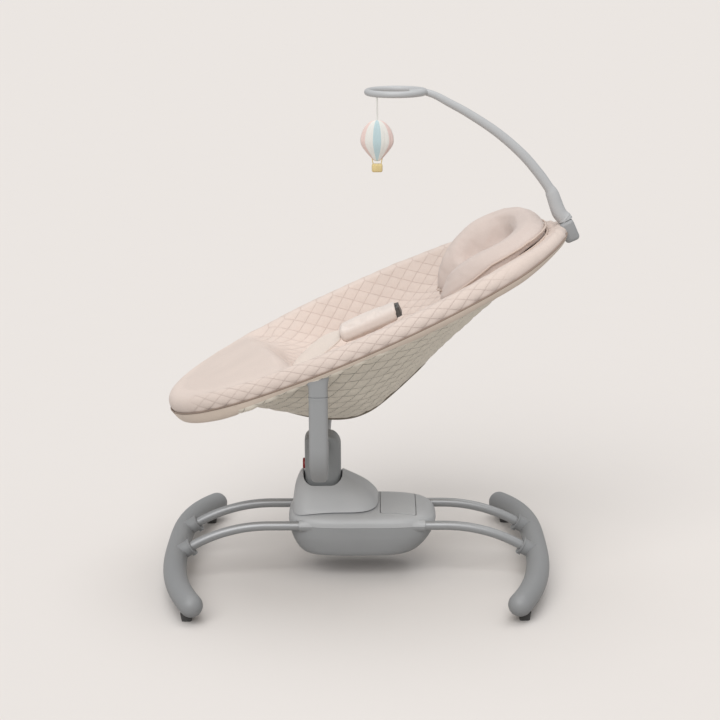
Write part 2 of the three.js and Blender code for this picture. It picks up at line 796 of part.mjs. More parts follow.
function forkGeometry() {
  const far = forkStations().map(([y, z, turn, width]) => forkRing(y, z, turn, width, forkThickness, 1));
  const near = forkStations().slice(0, -1).reverse()
    .map(([y, z, turn, width]) => forkRing(y, z, turn, width, forkThickness, -1));
  return loft([...far, ...near]);
}

addMesh(swing, 'post', postGeometry(), darkGreyPlastic());
addMesh(swing, 'fork', forkGeometry(), greyPlastic());
addMesh(swing, 'release_button', rod(
  vec(postLeft - buttonProud, 0, buttonHeight),
  vec(postLeft - buttonProud + buttonLength, 0, buttonHeight),
  buttonRadius,
), finish(0x8c0f10, 0.45));

// ---------- seat ----------
// The seat's own frame: +X runs up the ring's plane to the head, +Z is square to that plane.
const seat = new THREE.Group();
seat.position.set(seatCentre[0], 0, seatCentre[1]);
seat.rotation.y = -rad(seatTiltDeg);
seat.updateMatrix();
const intoSeat = seat.matrix.clone().invert();
swing.add(seat);

const ringSteps = 30;

// A point of the ring and the outward direction there, in the ring's plane.
function ringFrame(angle) {
  const [x, y] = superPoint(angle, ringHalfLength, ringHalfWidth, ringPower);
  const outX = Math.sign(x) * Math.abs(x / ringHalfLength) ** (ringPower - 1) / ringHalfLength;
  const outY = Math.sign(y) * Math.abs(y / ringHalfWidth) ** (ringPower - 1) / ringHalfWidth;
  const size = Math.hypot(outX, outY);
  return { x, y, outX: outX / size, outY: outY / size };
}

// All the points a given way out from the ring's centre line and above its plane.
function ringLoop(out, up) {
  const loop = [];
  for (let i = 0; i < ringSteps; i += 1) {
    const f = ringFrame((2 * Math.PI * (i + 0.5)) / ringSteps);
    loop.push(vec(f.x + out * f.outX, f.y + out * f.outY, up));
  }
  return loop;
}

function aroundTube(radius, angleDeg) {
  return ringLoop(radius * Math.cos(rad(angleDeg)), radius * Math.sin(rad(angleDeg)));
}

// Half the width of the bucket's mouth at x, inside the padded rim.
const mouthInset = 16;
function mouthHalfWidth(x) {
  const share = Math.min(Math.abs(x) / (ringHalfLength - mouthInset), 1);
  return (ringHalfWidth - mouthInset) * (1 - share ** ringPower) ** (1 / ringPower);
}

// Depth of a bucket surface under the ring's plane. A bucket is
// { edge, depth, lowest, footRun, headRun }: its depth at the mouth and at the lowest place,
// where that place is, and how far it takes to rise to the mouth towards foot and head.
function bucketDepth(bucket, x, y) {
  const run = x < bucket.lowest ? bucket.footRun : bucket.headRun;
  const share = Math.min(Math.abs(x - bucket.lowest) / run, 1);
  const centreDepth = (bucket.depth - bucket.edge) * (1 - share ** bucket.power);
  const width = Math.max(mouthHalfWidth(x), 1);
  const across = Math.min(Math.abs(y) / width, 1);
  return bucket.edge + centreDepth * (1 - across ** 2.4);
}

const pouchBucket = { edge: 20, depth: 145, lowest: -70, footRun: 232, headRun: 375, power: 1.15 };
const pouchThickness = 4;
const liningBucket = { edge: 9, depth: 126, lowest: -50, footRun: 120, headRun: 330, power: 1.3 };
const liningThickness = 6;
const bucketPole = -45;

// Rings of the bucket's surface from its mouth (share 1) in to the lowest place (share 0).
function bucketLoops(bucket, shares) {
  return shares.map((share) => ringLoop(-mouthInset, 0).map((p) => {
    const x = bucketPole + (p.x - bucketPole) * share;
    const y = p.y * share;
    return vec(x, y, -bucketDepth(bucket, x, y));
  }));
}

function thicker(bucket, by) {
  return { ...bucket, edge: bucket.edge + by, depth: bucket.depth + by };
}

const rimPadInner = ringTubeRadius + 4;
const piping = -26; // degrees below the ring's plane where lining and pouch meet
const shares = [0.82, 0.48, 0.02];

// The lining wraps the ring from the piping over the top and goes down into the bucket.
function liningGeometry() {
  const over = [piping, 20, 65, 115, 180].map((a) => aroundTube(rimRadius, a));
  const under = [...shares].reverse();
  const inner = [225, 145, 65, piping].map((a) => aroundTube(rimPadInner, a));
  return loft([
    ...over,
    ...bucketLoops(liningBucket, shares),
    ...bucketLoops(thicker(liningBucket, liningThickness), under),
    ...inner,
  ], true);
}

// The cloth hangs fuller under the ring towards the foot end.
const footFullness = 9;
function hangingAtFoot(loop) {
  for (const p of loop) {
    const drop = THREE.MathUtils.smoothstep(-p.z, 0.4 * rimRadius, rimRadius);
    p.z -= footFullness * drop * THREE.MathUtils.smoothstep(-p.x, 0.35 * ringHalfLength, 0.8 * ringHalfLength);
  }
  return loop;
}

// The pouch closes the ring from below and hangs outside the lining.
function pouchGeometry() {
  const skirt = [piping - 5, -55, -95].map((a) => hangingAtFoot(aroundTube(rimRadius - 1.5, a)));
  const inner = [240, 290, 360 + piping - 5].map((a) => aroundTube(rimPadInner, a));
  return loft([
    ...skirt,
    ...bucketLoops(pouchBucket, shares),
    ...bucketLoops(thicker(pouchBucket, -pouchThickness), [...shares].reverse()),
    ...inner,
  ], true);
}

// Stubs drop from the ring into the fork's open ends.
const stubLength = 26; // along X
const stubThickness = 20;
const stubHeight = 60;
function stubBlock(side, grow) {
  const block = roundedPlate(stubLength + 2 * grow, stubThickness + 2 * grow, stubHeight + grow, 6 + grow);
  return block.translate(postCentre, side * forkSpread / 2, forkTop + gap);
}

const socketStandoff = 15.4; // from the ring's centre line out to the socket's middle
const socketX = ringHalfLength + socketStandoff;
const socketTop = 12;
const socketLength = 24;
const socketWidth = 34;
const socketHeight = 34;
function socketBlock(grow, height = socketHeight) {
  const block = roundedPlate(socketLength + 2 * grow, socketWidth + 2 * grow, height, 7 + grow);
  return block.translate(socketX, 0, socketTop - socketHeight - grow);
}

function aroundNeighbours(geometry) {
  let body = solid(geometry).subtract(solid(socketBlock(1.5, 80)));
  for (const [, side] of rows) {
    body = body.subtract(solid(stubBlock(side, 1).applyMatrix4(intoSeat)));
  }
  return geometryOf(body);
}

const ringTube = (radius) => {
  const loops = [];
  for (let i = 0; i < 8; i += 1) loops.push(aroundTube(radius, i * 45));
  return loft(loops, true);
};

addMesh(seat, 'seat_ring', ringTube(ringTubeRadius), steelTube());
addMesh(seat, 'seat_lining', aroundNeighbours(liningGeometry()), liningFabric());
addMesh(seat, 'seat_pouch', aroundNeighbours(pouchGeometry()), pouchFabric());
for (const [name, side] of rows) {
  const saddle = ringTube(ringTubeRadius + gap).applyMatrix4(seat.matrix);
  addMesh(swing, `rim_stub_${name}`, cut(stubBlock(side, 0), saddle), darkGreyPlastic());
}

// ---------- head pillow and harness ----------
// Height of the lining's upper surface under a point of the seat's frame.
const liningHeight = (x, y) => -bucketDepth(liningBucket, x, y);

// A horseshoe roll, open towards the feet, that lies over the rim at the head.
const pillow = {
  centre: 0.659 * ringHalfLength,
  halfLength: 0.299 * ringHalfLength,
  halfWidth: 0.399 * ringHalfWidth,
  edge: 12,
  side: 24,
  crest: 45,
  hollow: 14,
  clearance: 2,
};
// Each row: share of the outline, and how far its height lies between the hollow and the crest.
const pillowRows = [[1, 0], [0.94, 0.6], [0.8, 1], [0.55, 0.85], [0.34, 0.15], [0.02, 0]];
function pillowGeometry() {
  const outline = (share, height) => {
    const loop = [];
    for (let i = 0; i < 28; i += 1) {
      const [x, y] = superPoint((2 * Math.PI * i) / 28, pillow.halfLength, pillow.halfWidth, 2.5);
      const [px, py] = [pillow.centre + x * share, y * share];
      loop.push(vec(px, py, height(px, py)));
    }
    return loop;
  };
  const headEnd = (x) => THREE.MathUtils.smoothstep(x, 0.58 * ringHalfLength, 0.8 * ringHalfLength);
  const under = (x, y) => Math.max(liningHeight(x, y) + 8 + 10 * headEnd(x), pillow.edge - pillow.side - 10);
  // the arms die away towards the feet, and the mouth of the horseshoe stays low
  const over = (share, rise) => (x, y) => {
    const towardsFoot = THREE.MathUtils.clamp((pillow.centre - x) / pillow.halfLength, 0, 1);
    const open = towardsFoot * THREE.MathUtils.clamp(1.6 - (2.6 * Math.abs(y)) / pillow.halfWidth, 0, 1);
    const crest = pillow.crest - 14 * towardsFoot ** 2;
    const low = share === 1 ? pillow.edge - 10 * towardsFoot : pillow.hollow - 4 * towardsFoot;
    return low + (crest - low) * rise * (1 - open);
  };
  const roll = loft([
    outline(0.02, under),
    outline(0.5, under),
    outline(0.85, under),
    ...pillowRows.map(([share, rise]) => outline(share, over(share, rise))),
  ]);
  return cut(roll, ringTube(rimRadius + pillow.clearance), socketBlock(pillow.clearance, 80));
}
addMesh(seat, 'head_pillow', pillowGeometry(), liningFabric());

// A flat strip through stations [x, y, z] with its width across the run and its thickness up.
function strapGeometry(stations, width, thickness) {
  return loft(stations.map(([x, y, z], i) => {
    const before = stations[Math.max(i - 1, 0)];
    const after = stations[Math.min(i + 1, stations.length - 1)];
    const run = vec(after[0] - before[0], after[1] - before[1], after[2] - before[2]).normalize();
    const across = new THREE.Vector3().crossVectors(vec(0, 0, 1), run).normalize();
    const up = new THREE.Vector3().crossVectors(run, across);
    return [[-1, -1], [1, -1], [1, 1], [-1, 1]].map(([a, b]) => vec(x, y, z)
      .addScaledVector(across, (a * width) / 2)
      .addScaledVector(up, (b * thickness) / 2));
  }));
}

const crotchPad = { from: -52, to: 30, width: 58, thickness: 20, height: -12 };
const crotchStrap = { width: 50, thickness: 5, foot: -150 };
const padLength = crotchPad.to - crotchPad.from;
const padShape = roundedPlate(padLength, crotchPad.width, crotchPad.thickness, 12);
const padMiddle = (crotchPad.from + crotchPad.to) / 2;
addMesh(
  seat,
  'crotch_pad',
  padShape.translate(padMiddle, 0, crotchPad.height - crotchPad.thickness / 2),
  liningFabric(),
);
addMesh(seat, 'crotch_strap', strapGeometry([
  [crotchStrap.foot, 0, liningHeight(crotchStrap.foot, 0) + crotchStrap.thickness / 2 + 5],
  [crotchStrap.foot + 30, 0, liningHeight(crotchStrap.foot, 0) + crotchStrap.thickness / 2 + 8],
  [crotchPad.from - 3, 0, crotchPad.height],
], crotchStrap.width, crotchStrap.thickness), liningFabric());

const buckle = { length: 22, width: 44, thickness: 15, button: 7.5, travel: 2 };
const buckleX = crotchPad.to + gap + buckle.length / 2;
function buckleGeometry() {
  const body = roundedPlate(buckle.length, buckle.width, buckle.thickness, 6);
  body.translate(buckleX, 0, crotchPad.height - buckle.thickness / 2);
  const top = crotchPad.height + buckle.thickness / 2;
  return cut(body, rod(vec(buckleX, 0, top - 7), vec(buckleX, 0, top + 5), buckle.button + 0.4, 16));
}
addMesh(seat, 'buckle', buckleGeometry(), finish(0x4a4a4c, 0.5));
const buckleButtonTop = crotchPad.height + buckle.thickness / 2 + 1.2;
addMesh(seat, 'buckle_button', rod(
  vec(buckleX, 0, buckleButtonTop - 5),
  vec(buckleX, 0, buckleButtonTop),
  buckle.button,
  16,
), finish(0x5a5a5c, 0.5));

const shoulderStrap = { width: 24, thickness: 2.4, lift: 10.5 };
// Shares of the ring's half length and half width.
const shoulderRoute = [[0.354, 0.252], [0.24, 0.277], [0.12, 0.294], [0, 0.303]];
for (const [name, side] of rows) {
  const stations = shoulderRoute.map(([shareX, shareY]) => {
    const [x, y] = [shareX * ringHalfLength, side * shareY * ringHalfWidth];
    return [x, y, liningHeight(x, y) + shoulderStrap.lift];
  });
  const strap = strapGeometry(stations, shoulderStrap.width, shoulderStrap.thickness);
  addMesh(seat, `shoulder_strap_${name}`, strap, liningFabric());
}

// ---------- toy bar ----------
const plugRadius = 8;
const plugDepth = 24;
function socketGeometry() {
  const body = solid(socketBlock(0));
  const bore = rod(
    vec(socketX + 1, 0, socketTop - plugDepth),
    vec(socketX + 1, 0, socketTop + 9),
    plugRadius + runningGap,
  );
  return geometryOf(body.subtract(solid(bore)).subtract(solid(ringTube(ringTubeRadius + gap))));
}
addMesh(seat, 'toy_bar_socket', socketGeometry(), darkGreyPlastic());

const loopCentre = [66, overallHeight - loopRadius];
const hangAngle = rad(228); // where the toy's ribbon goes round the loop

// Stations of the bar from its plug to the loop: [x, z, thickness, width].
const barThickness = 16;
const barWidth = 20;
const socketPoint = vec(socketX + 1, 0, socketTop).applyMatrix4(seat.matrix);
const plugPoint = vec(socketX + 1, 0, socketTop - plugDepth + 1).applyMatrix4(seat.matrix);
const barEnd = [loopCentre[0] + loopLength / 2 - loopRadius / 2, loopCentre[1] - 1];
// Shares of the span from the loop back to the socket, up from the socket, and of the bar's size.
const barArc = [
  [0.953, 0.066, 1.44, 1.25],
  [0.904, 0.206, 1.31, 1.15],
  [0.877, 0.26, 1, 1],
  [0.8, 0.376, 1, 0.95],
  [0.679, 0.526, 0.97, 0.9],
  [0.504, 0.686, 0.91, 0.85],
  [0.301, 0.827, 0.84, 0.8],
  [0.121, 0.919, 0.78, 0.75],
  [0.023, 0.961, 0.72, 0.65],
  [0, 1, 0.6, 0.6],
];
const barStations = [
  [plugPoint.x, plugPoint.z, 2 * plugRadius, 2 * plugRadius],
  [socketPoint.x - 0.2, socketPoint.z + 0.5, 2 * plugRadius, 2 * plugRadius],
  [socketPoint.x - 0.8, socketPoint.z + 2, 1.44 * barThickness, 1.3 * barWidth],
  ...barArc.map(([back, up, thickness, width]) => [
    THREE.MathUtils.lerp(barEnd[0], socketPoint.x, back),
    THREE.MathUtils.lerp(socketPoint.z, barEnd[1], up),
    thickness * barThickness,
    width * barWidth,
  ]),
];

function toyBarGeometry() {
  const rings = barStations.map(([x, z, thickness, width], i) => {
    const before = barStations[Math.max(i - 1, 0)];
    const after = barStations[Math.min(i + 1, barStations.length - 1)];
    const straight = i < 3;
    const run = straight
      ? vec(socketPoint.x - plugPoint.x, 0, socketPoint.z - plugPoint.z).normalize()
      : vec(after[0] - before[0], 0, after[1] - before[1]).normalize();
    const up = vec(-run.z, 0, run.x);
    const ring = [];
    for (let k = 0; k < 10; k += 1) {
      const [a, b] = superPoint((2 * Math.PI * k) / 10, thickness / 2, width / 2, 2.2);
      ring.push(vec(x, b, z).addScaledVector(up, a));
    }
    return ring;
  });
  const loopRings = [];
  for (let i = 0; i < 24; i += 1) {
    const angle = (2 * Math.PI * i) / 24;
    const ring = [];
    for (let k = 0; k < 8; k += 1) {
      const turn = (2 * Math.PI * k) / 8;
      const reach = loopRadius * Math.cos(turn);
      ring.push(vec(
        loopCentre[0] + (loopLength / 2 - loopRadius + reach) * Math.cos(angle),
        (loopWidth / 2 - loopRadius + reach) * Math.sin(angle),
        loopCentre[1] + loopRadius * Math.sin(turn),
      ));
    }
    loopRings.push(ring);
  }
  return join(loft(rings), loft(loopRings, true));
}
addMesh(swing, 'toy_bar', toyBarGeometry(), finish(0xb4b6b6, 0.45));

const toy = { width: 54, height: 82, thickness: 12, drop: 34 };
const toyX = loopCentre[0] + (loopLength / 2 - loopRadius) * Math.cos(hangAngle);
const toyY = (loopWidth / 2 - loopRadius) * Math.sin(hangAngle);
const ribbonTop = loopCentre[1] - loopRadius - gap;
const toyTop = ribbonTop - toy.drop;
function balloonGeometry() {
  const outline = new THREE.Shape();
  const r = toy.width / 2;
  outline.moveTo(-7, -toy.height);
  outline.lineTo(7, -toy.height);
  outline.lineTo(9, -toy.height + 14);
  outline.quadraticCurveTo(r, -toy.height * 0.55, r, -r);
  outline.absarc(0, -r, r, 0, Math.PI);
  outline.quadraticCurveTo(-r, -toy.height * 0.55, -9, -toy.height + 14);
  const plate = new THREE.ExtrudeGeometry(outline, {
    depth: toy.thickness,
    bevelEnabled: false,
    curveSegments: 8,
  });
  return plate.rotateX(Math.PI / 2).translate(toyX, toyY + toy.thickness / 2, toyTop);
}
addMesh(swing, 'toy_balloon', balloonGeometry(), finish(0xe9eef0, 0.9));
addMesh(
  swing,
  'toy_ribbon',
  roundTube(new THREE.LineCurve3(vec(toyX, toyY, ribbonTop), vec(toyX, toyY, toyTop + gap)), 1.5, 6, 8),
  finish(0xf2f2ee, 0.9),
);

// The origin is on the floor under the middle of the whole object.
swing.updateMatrixWorld(true);
const extent = new THREE.Box3().setFromObject(swing, true);
swing.position.set(-(extent.min.x + extent.max.x) / 2, 0, 0);

export default swing;
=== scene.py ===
import math

import bmesh
import bpy
from mathutils import Matrix, Vector, noise


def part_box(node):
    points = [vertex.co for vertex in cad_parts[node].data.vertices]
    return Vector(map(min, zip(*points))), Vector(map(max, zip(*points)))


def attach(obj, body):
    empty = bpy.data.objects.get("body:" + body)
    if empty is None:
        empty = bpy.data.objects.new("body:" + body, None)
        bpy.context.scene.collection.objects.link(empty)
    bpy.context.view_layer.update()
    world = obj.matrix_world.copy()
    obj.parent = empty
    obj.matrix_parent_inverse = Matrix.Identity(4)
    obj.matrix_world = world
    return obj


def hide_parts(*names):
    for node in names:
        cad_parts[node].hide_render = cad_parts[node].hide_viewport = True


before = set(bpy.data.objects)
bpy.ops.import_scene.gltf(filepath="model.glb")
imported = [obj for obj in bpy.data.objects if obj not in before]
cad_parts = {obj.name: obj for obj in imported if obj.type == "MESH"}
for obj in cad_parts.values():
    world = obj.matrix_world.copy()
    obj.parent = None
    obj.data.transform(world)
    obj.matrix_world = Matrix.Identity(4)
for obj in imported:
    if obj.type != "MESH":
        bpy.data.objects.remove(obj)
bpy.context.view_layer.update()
print("frame loaded")

cameraSettings = {
    "place": (0.0088, -3.1468, 1.0973), "yaw": -0.0079520, "pitch": 0.2324551, "roll": -0.0059418,  # radians
    "lens": 99.796, "sensor": 36, "farthest": 60,
}


def makeCamera():
    s = cameraSettings
    camera = bpy.data.objects.new("viewCamera", bpy.data.cameras.new("viewCamera"))
    bpy.context.collection.objects.link(camera)
    turns = ((-s["yaw"], "Z"), (math.pi / 2 - s["pitch"], "X"), (s["roll"], "Z"))
    matrix = Matrix.Translation(s["place"])
    for angle, axis in turns:
        matrix = matrix @ Matrix.Rotation(angle, 4, axis)
    camera.matrix_world = matrix
    camera.data.lens = s["lens"]
    camera.data.sensor_width = s["sensor"]
    camera.data.clip_end = s["farthest"]
    bpy.context.scene.camera = camera


makeCamera()
bpy.context.scene.view_settings.view_transform = "Standard"


# screen colours, 0 to 255, as the linear values that a shader takes
def linear(*rgb):
    shares = [c / 255 for c in rgb]
    return (*(c / 12.92 if c <= 0.04045 else ((c + 0.055) / 1.055) ** 2.4 for c in shares), 1)


# a value is set, and another node's output is linked
def feed(tree, node, inputs):
    for key, value in inputs.items():
        if isinstance(value, bpy.types.NodeSocket):
            tree.links.new(value, node.inputs[key])
        else:
            node.inputs[key].default_value = value


def addNode(tree, kind, inputs=None, **values):
    node = tree.nodes.new(kind)
    for key, value in values.items():
        setattr(node, key, value)
    feed(tree, node, inputs or {})
    return node


def mathNode(tree, operation, *values):
    return addNode(tree, "ShaderNodeMath", dict(enumerate(values)), operation=operation).outputs[0]


def noiseNode(tree, place, scale, detail):
    inputs = {"Vector": place, "Scale": scale, "Detail": detail}
    return addNode(tree, "ShaderNodeTexNoise", inputs).outputs["Fac"]


def startGroup(name, inputs, outputs):
    group = bpy.data.node_groups.new(name, "ShaderNodeTree")
    for label, value in inputs.items():
        kind = "NodeSocketFloat" if isinstance(value, float) else "NodeSocketColor"
        group.interface.new_socket(name=label, in_out="INPUT", socket_type=kind).default_value = value
    for label in outputs:
        kind = "NodeSocketColor" if label == "Color" else "NodeSocketFloat"
        group.interface.new_socket(name=label, in_out="OUTPUT", socket_type=kind)
    return group, addNode(group, "NodeGroupInput").outputs, addNode(group, "NodeGroupOutput")


midGrey = (0.5, 0.5, 0.5, 1)


# fine grain of a moulded or painted surface: height, and a slight change of tone
def makeGrainGroup():
    group, given, result = startGroup(
        "mouldedGrain", {"Color": midGrey, "Scale": 900.0, "Tone": 0.05, "Roughness": 0.45},
        ("Color", "Height", "Roughness"),
    )
    place = addNode(group, "ShaderNodeTexCoord").outputs["Object"]
    broad = mathNode(group, "SUBTRACT", noiseNode(group, place, 9, 3), 0.5)
    shift = mathNode(group, "MULTIPLY", broad, given["Tone"])
    value = mathNode(group, "MULTIPLY_ADD", shift, 2.0, 1.0)
    bright = addNode(group, "ShaderNodeHueSaturation", {"Color": given["Color"], "Value": value})
    feed(group, result, {
        "Color": bright.outputs["Color"],
        "Height": noiseNode(group, place, given["Scale"], 2),
        "Roughness": mathNode(group, "MULTIPLY_ADD", shift, 1.5, given["Roughness"]),
    })
    return group


def clothPlace(group):
    where = addNode(group, "ShaderNodeUVMap").outputs["UV"]
    return addNode(group, "ShaderNodeSeparateXYZ", {0: where}).outputs


# two crossed sets of threads on the piece's own UV, in metres, with a little fuzz and patchiness
def makeWeaveGroup():
    group, given, result = startGroup(
        "clothWeave", {"Color": midGrey, "Pitch": 0.0011, "Contrast": 0.12}, ("Color", "Height"),
    )
    apart = clothPlace(group)
    waves = []
    for axis in ("X", "Y"):
        turns = mathNode(group, "DIVIDE", apart[axis], given["Pitch"])
        waves.append(mathNode(group, "SINE", mathNode(group, "MULTIPLY", turns, math.tau)))
    threads = mathNode(group, "MULTIPLY", *waves)
    place = addNode(group, "ShaderNodeTexCoord").outputs["Object"]
    fuzz = noiseNode(group, place, 420, 4)
    patches = noiseNode(group, place, 14, 2)
    uneven = mathNode(group, "SUBTRACT", mathNode(group, "ADD", fuzz, patches), 1.0)
    tone = mathNode(group, "MULTIPLY_ADD", threads, 0.25, uneven)
    value = mathNode(group, "MULTIPLY_ADD", tone, given["Contrast"], 1.0)
    bright = addNode(group, "ShaderNodeHueSaturation", {"Color": given["Color"], "Value": value})
    height = mathNode(group, "MULTIPLY_ADD", threads, 0.5, fuzz)
    feed(group, result, {"Color": bright.outputs["Color"], "Height": height})
    return group


# diamond quilting: 1 along the two slanted families of seams
def makeQuiltGroup():
    group, given, result = startGroup("quiltSeams", {"Length": 0.035, "Width": 0.028, "Line": 0.06}, ("Seam",))
    apart = clothPlace(group)
    along = mathNode(group, "DIVIDE", apart["X"], given["Length"])
    across = mathNode(group, "DIVIDE", apart["Y"], given["Width"])
    sines = []
    for operation in ("ADD", "SUBTRACT"):
        turn = mathNode(group, "MULTIPLY", mathNode(group, operation, along, across), math.pi)
        sines.append(mathNode(group, "ABSOLUTE", mathNode(group, "SINE", turn)))
    inputs = {"Value": mathNode(group, "MINIMUM", *sines), "From Max": given["Line"], "To Min": 1, "To Max": 0}
    seam = addNode(group, "ShaderNodeMapRange", inputs, interpolation_type="SMOOTHSTEP")
    feed(group, result, {"Seam": seam.outputs[0]})
    return group


grainGroup = makeGrainGroup()
weaveGroup = makeWeaveGroup()
quiltGroup = makeQuiltGroup()


def startMaterial(name):
    material = bpy.data.materials.new(name)
    material.use_nodes = True
    return material, material.node_tree, material.node_tree.nodes["Principled BSDF"]


def mouldedMaterial(name, rgb, roughness=0.45, metallic=0.0, grain=900.0, depth=0.00002, tone=0.05):
    material, tree, shader = startMaterial(name)
    inputs = {"Color": linear(*rgb), "Scale": grain, "Tone": tone, "Roughness": roughness}
    surface = addNode(tree, "ShaderNodeGroup", inputs, node_tree=grainGroup).outputs
    bump = addNode(tree, "ShaderNodeBump", {"Distance": depth, "Strength": 0.6, "Height": surface["Height"]})
    feed(tree, shader, {
        "Base Color": surface["Color"], "Roughness": surface["Roughness"],
        "Normal": bump.outputs["Normal"], "Metallic": metallic,
    })
    return material


def clothMaterial(name, rgb, pitch=0.0011, contrast=0.12, depth=0.00025, quilt=None):
    material, tree, shader = startMaterial(name)
    inputs = {"Color": linear(*rgb), "Pitch": pitch, "Contrast": contrast}
    weave = addNode(tree, "ShaderNodeGroup", inputs, node_tree=weaveGroup).outputs
    color = weave["Color"]
    bump = addNode(tree, "ShaderNodeBump", {"Distance": depth, "Strength": 0.5, "Height": weave["Height"]})
    if quilt:
        inputs = {"Length": quilt["length"], "Width": quilt["width"], "Line": quilt["line"]}
        seam = addNode(tree, "ShaderNodeGroup", inputs, node_tree=quiltGroup).outputs["Seam"]
        share = addNode(tree, "ShaderNodeAttribute", attribute_name="quilted").outputs["Fac"]
        dark = mathNode(tree, "MULTIPLY", mathNode(tree, "MULTIPLY", seam, share), quilt["dark"])
        inputs = {0: dark, 6: color, 7: linear(*quilt["rgb"])}
        color = addNode(tree, "ShaderNodeMix", inputs, data_type="RGBA").outputs[2]
        height = mathNode(tree, "MULTIPLY", mathNode(tree, "SUBTRACT", 1.0, seam), share)
        inputs = {"Distance": quilt["groove"], "Strength": 1, "Height": height}
        feed(tree, bump, {"Normal": addNode(tree, "ShaderNodeBump", inputs).outputs["Normal"]})
    feed(tree, shader, {
        "Base Color": color, "Normal": bump.outputs["Normal"],
        "Roughness": 0.92, "Sheen Weight": 0.15, "Sheen Roughness": 0.5,
    })
    return material


# length and width of a diamond in metres, width of the seam line, how dark and deep it is, and its colour
liningQuilt = {
    "length": 0.030, "width": 0.0185, "line": 0.14, "dark": 0.34, "groove": 0.0005, "rgb": (202, 172, 160),
}
pouchQuilt = {
    "length": 0.037, "width": 0.027, "line": 0.12, "dark": 0.8, "groove": 0.0009, "rgb": (150, 142, 130),
}
mouldedFinishes = {
    "greyMoulding": {"rgb": (156, 157, 158), "roughness": 0.42},
    "legMoulding": {"rgb": (141, 142, 143)},
    "darkMoulding": {"rgb": (148, 150, 151)},
    "barMoulding": {"rgb": (188, 189, 190), "roughness": 0.4},
    # the cover, battery door and hood take a lighter copy of the grey moulding: painted top light
    "coverMouldingPaintedLight": {"rgb": (188, 189, 190), "roughness": 0.4},
    "tubeSteel": {"rgb": (166, 167, 168), "roughness": 0.42, "metallic": 0.45, "grain": 1500, "tone": 0.02},
    "innerSteel": {"rgb": (150, 152, 155), "roughness": 0.35, "metallic": 0.9, "grain": 1200},
    "bearingBrass": {"rgb": (184, 154, 90), "roughness": 0.35, "metallic": 0.8},
    "padRubber": {"rgb": (78, 77, 76), "roughness": 0.8, "grain": 600, "depth": 0.00008},
    "gearNylon": {"rgb": (228, 224, 212), "roughness": 0.5},
    "cellSleeve": {"rgb": (176, 140, 70), "roughness": 0.35, "metallic": 0.4},
    "boardLaminate": {"rgb": (46, 106, 72), "roughness": 0.5},
    "speakerBlack": {"rgb": (40, 40, 42), "roughness": 0.6},
    "redButton": {"rgb": (150, 12, 14), "roughness": 0.35},
    "buckleCharcoal": {"rgb": (84, 82, 80), "roughness": 0.5},
}
clothFinishes = {
    "liningCloth": {"rgb": (219, 203, 193), "quilt": liningQuilt},
    "pouchCloth": {"rgb": (238, 229, 214), "contrast": 0.26, "depth": 0.0004, "quilt": pouchQuilt},
    "seamCloth": {"rgb": (146, 137, 124), "pitch": 0.0008},
    "rimCloth": {"rgb": (226, 209, 194)},
    "padCloth": {"rgb": (226, 214, 206), "pitch": 0.0009, "contrast": 0.08},
    "webCloth": {"rgb": (224, 212, 202), "pitch": 0.0016, "contrast": 0.16, "depth": 0.0004},
    "pipingCloth": {"rgb": (212, 194, 182), "pitch": 0.0008},
    # the rim's piping cord is painted dark brown, as painted shade along the line under the rim's edge
    "rimCordPaintedShade": {"rgb": (150, 130, 116), "pitch": 0.0008},
    "pillowCloth": {"rgb": (211, 196, 188), "pitch": 0.0008, "contrast": 0.07, "depth": 0.00015},
    "toyWhite": {"rgb": (240, 238, 232), "pitch": 0.0008, "contrast": 0.08},
    "toyBlue": {"rgb": (198, 220, 224), "pitch": 0.0008, "contrast": 0.08},
    "toyPink": {"rgb": (238, 214, 207), "pitch": 0.0008, "contrast": 0.08},
    "basketCloth": {"rgb": (226, 204, 148), "pitch": 0.0018, "contrast": 0.3, "depth": 0.0005},
}
finishes = {
    **{name: mouldedMaterial(name, **s) for name, s in mouldedFinishes.items()},
    **{name: clothMaterial(name, **s) for name, s in clothFinishes.items()},
}
print("materials made")


# a grid laid by place(u, v), closed where its edges meet; measure(u, v) gives its UV
def laidForm(columns, rows, place, gap=0.00001, capped=False, measure=None):
    bm = bmesh.new()
    layer = bm.loops.layers.uv.verify()
    bmesh.ops.create_grid(bm, x_segments=columns, y_segments=rows, size=0.5, calc_uvs=True)
    for face in bm.faces:
        for corner in face.loops:
            u, v = corner.vert.co.x + 0.5, corner.vert.co.y + 0.5
            corner[layer].uv = measure(u, v) if measure else (u, v)
    for vert in bm.verts:
        vert.co = place(vert.co.x + 0.5, vert.co.y + 0.5)
    closeSeams(bm, gap)
    if capped:
        capEnds(bm)
    return bm


def closeSeams(bm, gap):
    bmesh.ops.remove_doubles(bm, verts=bm.verts, dist=gap)
    bmesh.ops.recalc_face_normals(bm, faces=bm.faces)


def capEnds(bm):
    bmesh.ops.holes_fill(bm, edges=[e for e in bm.edges if e.is_boundary])
    bmesh.ops.recalc_face_normals(bm, faces=bm.faces)


def aimed(direction, place=(0, 0, 0)):
    return Matrix.Translation(place) @ Vector(direction).to_track_quat("Z", "Y").to_matrix().to_4x4()


def shifted(bm, matrix, verts=None):
    bmesh.ops.transform(bm, matrix=matrix, verts=verts or bm.verts)


def joinForm(bm, part):
    mesh = bpy.data.meshes.new("part")
    part.to_mesh(mesh)
    part.free()
    bm.from_mesh(mesh)
    bpy.data.meshes.remove(mesh)


def newPiece(name, bm, finish, sharpDegrees=38):
    mesh = bpy.data.meshes.new(name)
    bm.to_mesh(mesh)
    bm.free()
    mesh.shade_smooth()
    mesh.set_sharp_from_angle(angle=math.radians(sharpDegrees))
    piece = bpy.data.objects.new(name, mesh)
    bpy.context.collection.objects.link(piece)
    mesh.materials.append(finishes[finish])
    return piece


def settle(piece, body, slotName, *nodes):
    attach(piece, body)
    if nodes:
        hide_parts(*nodes)


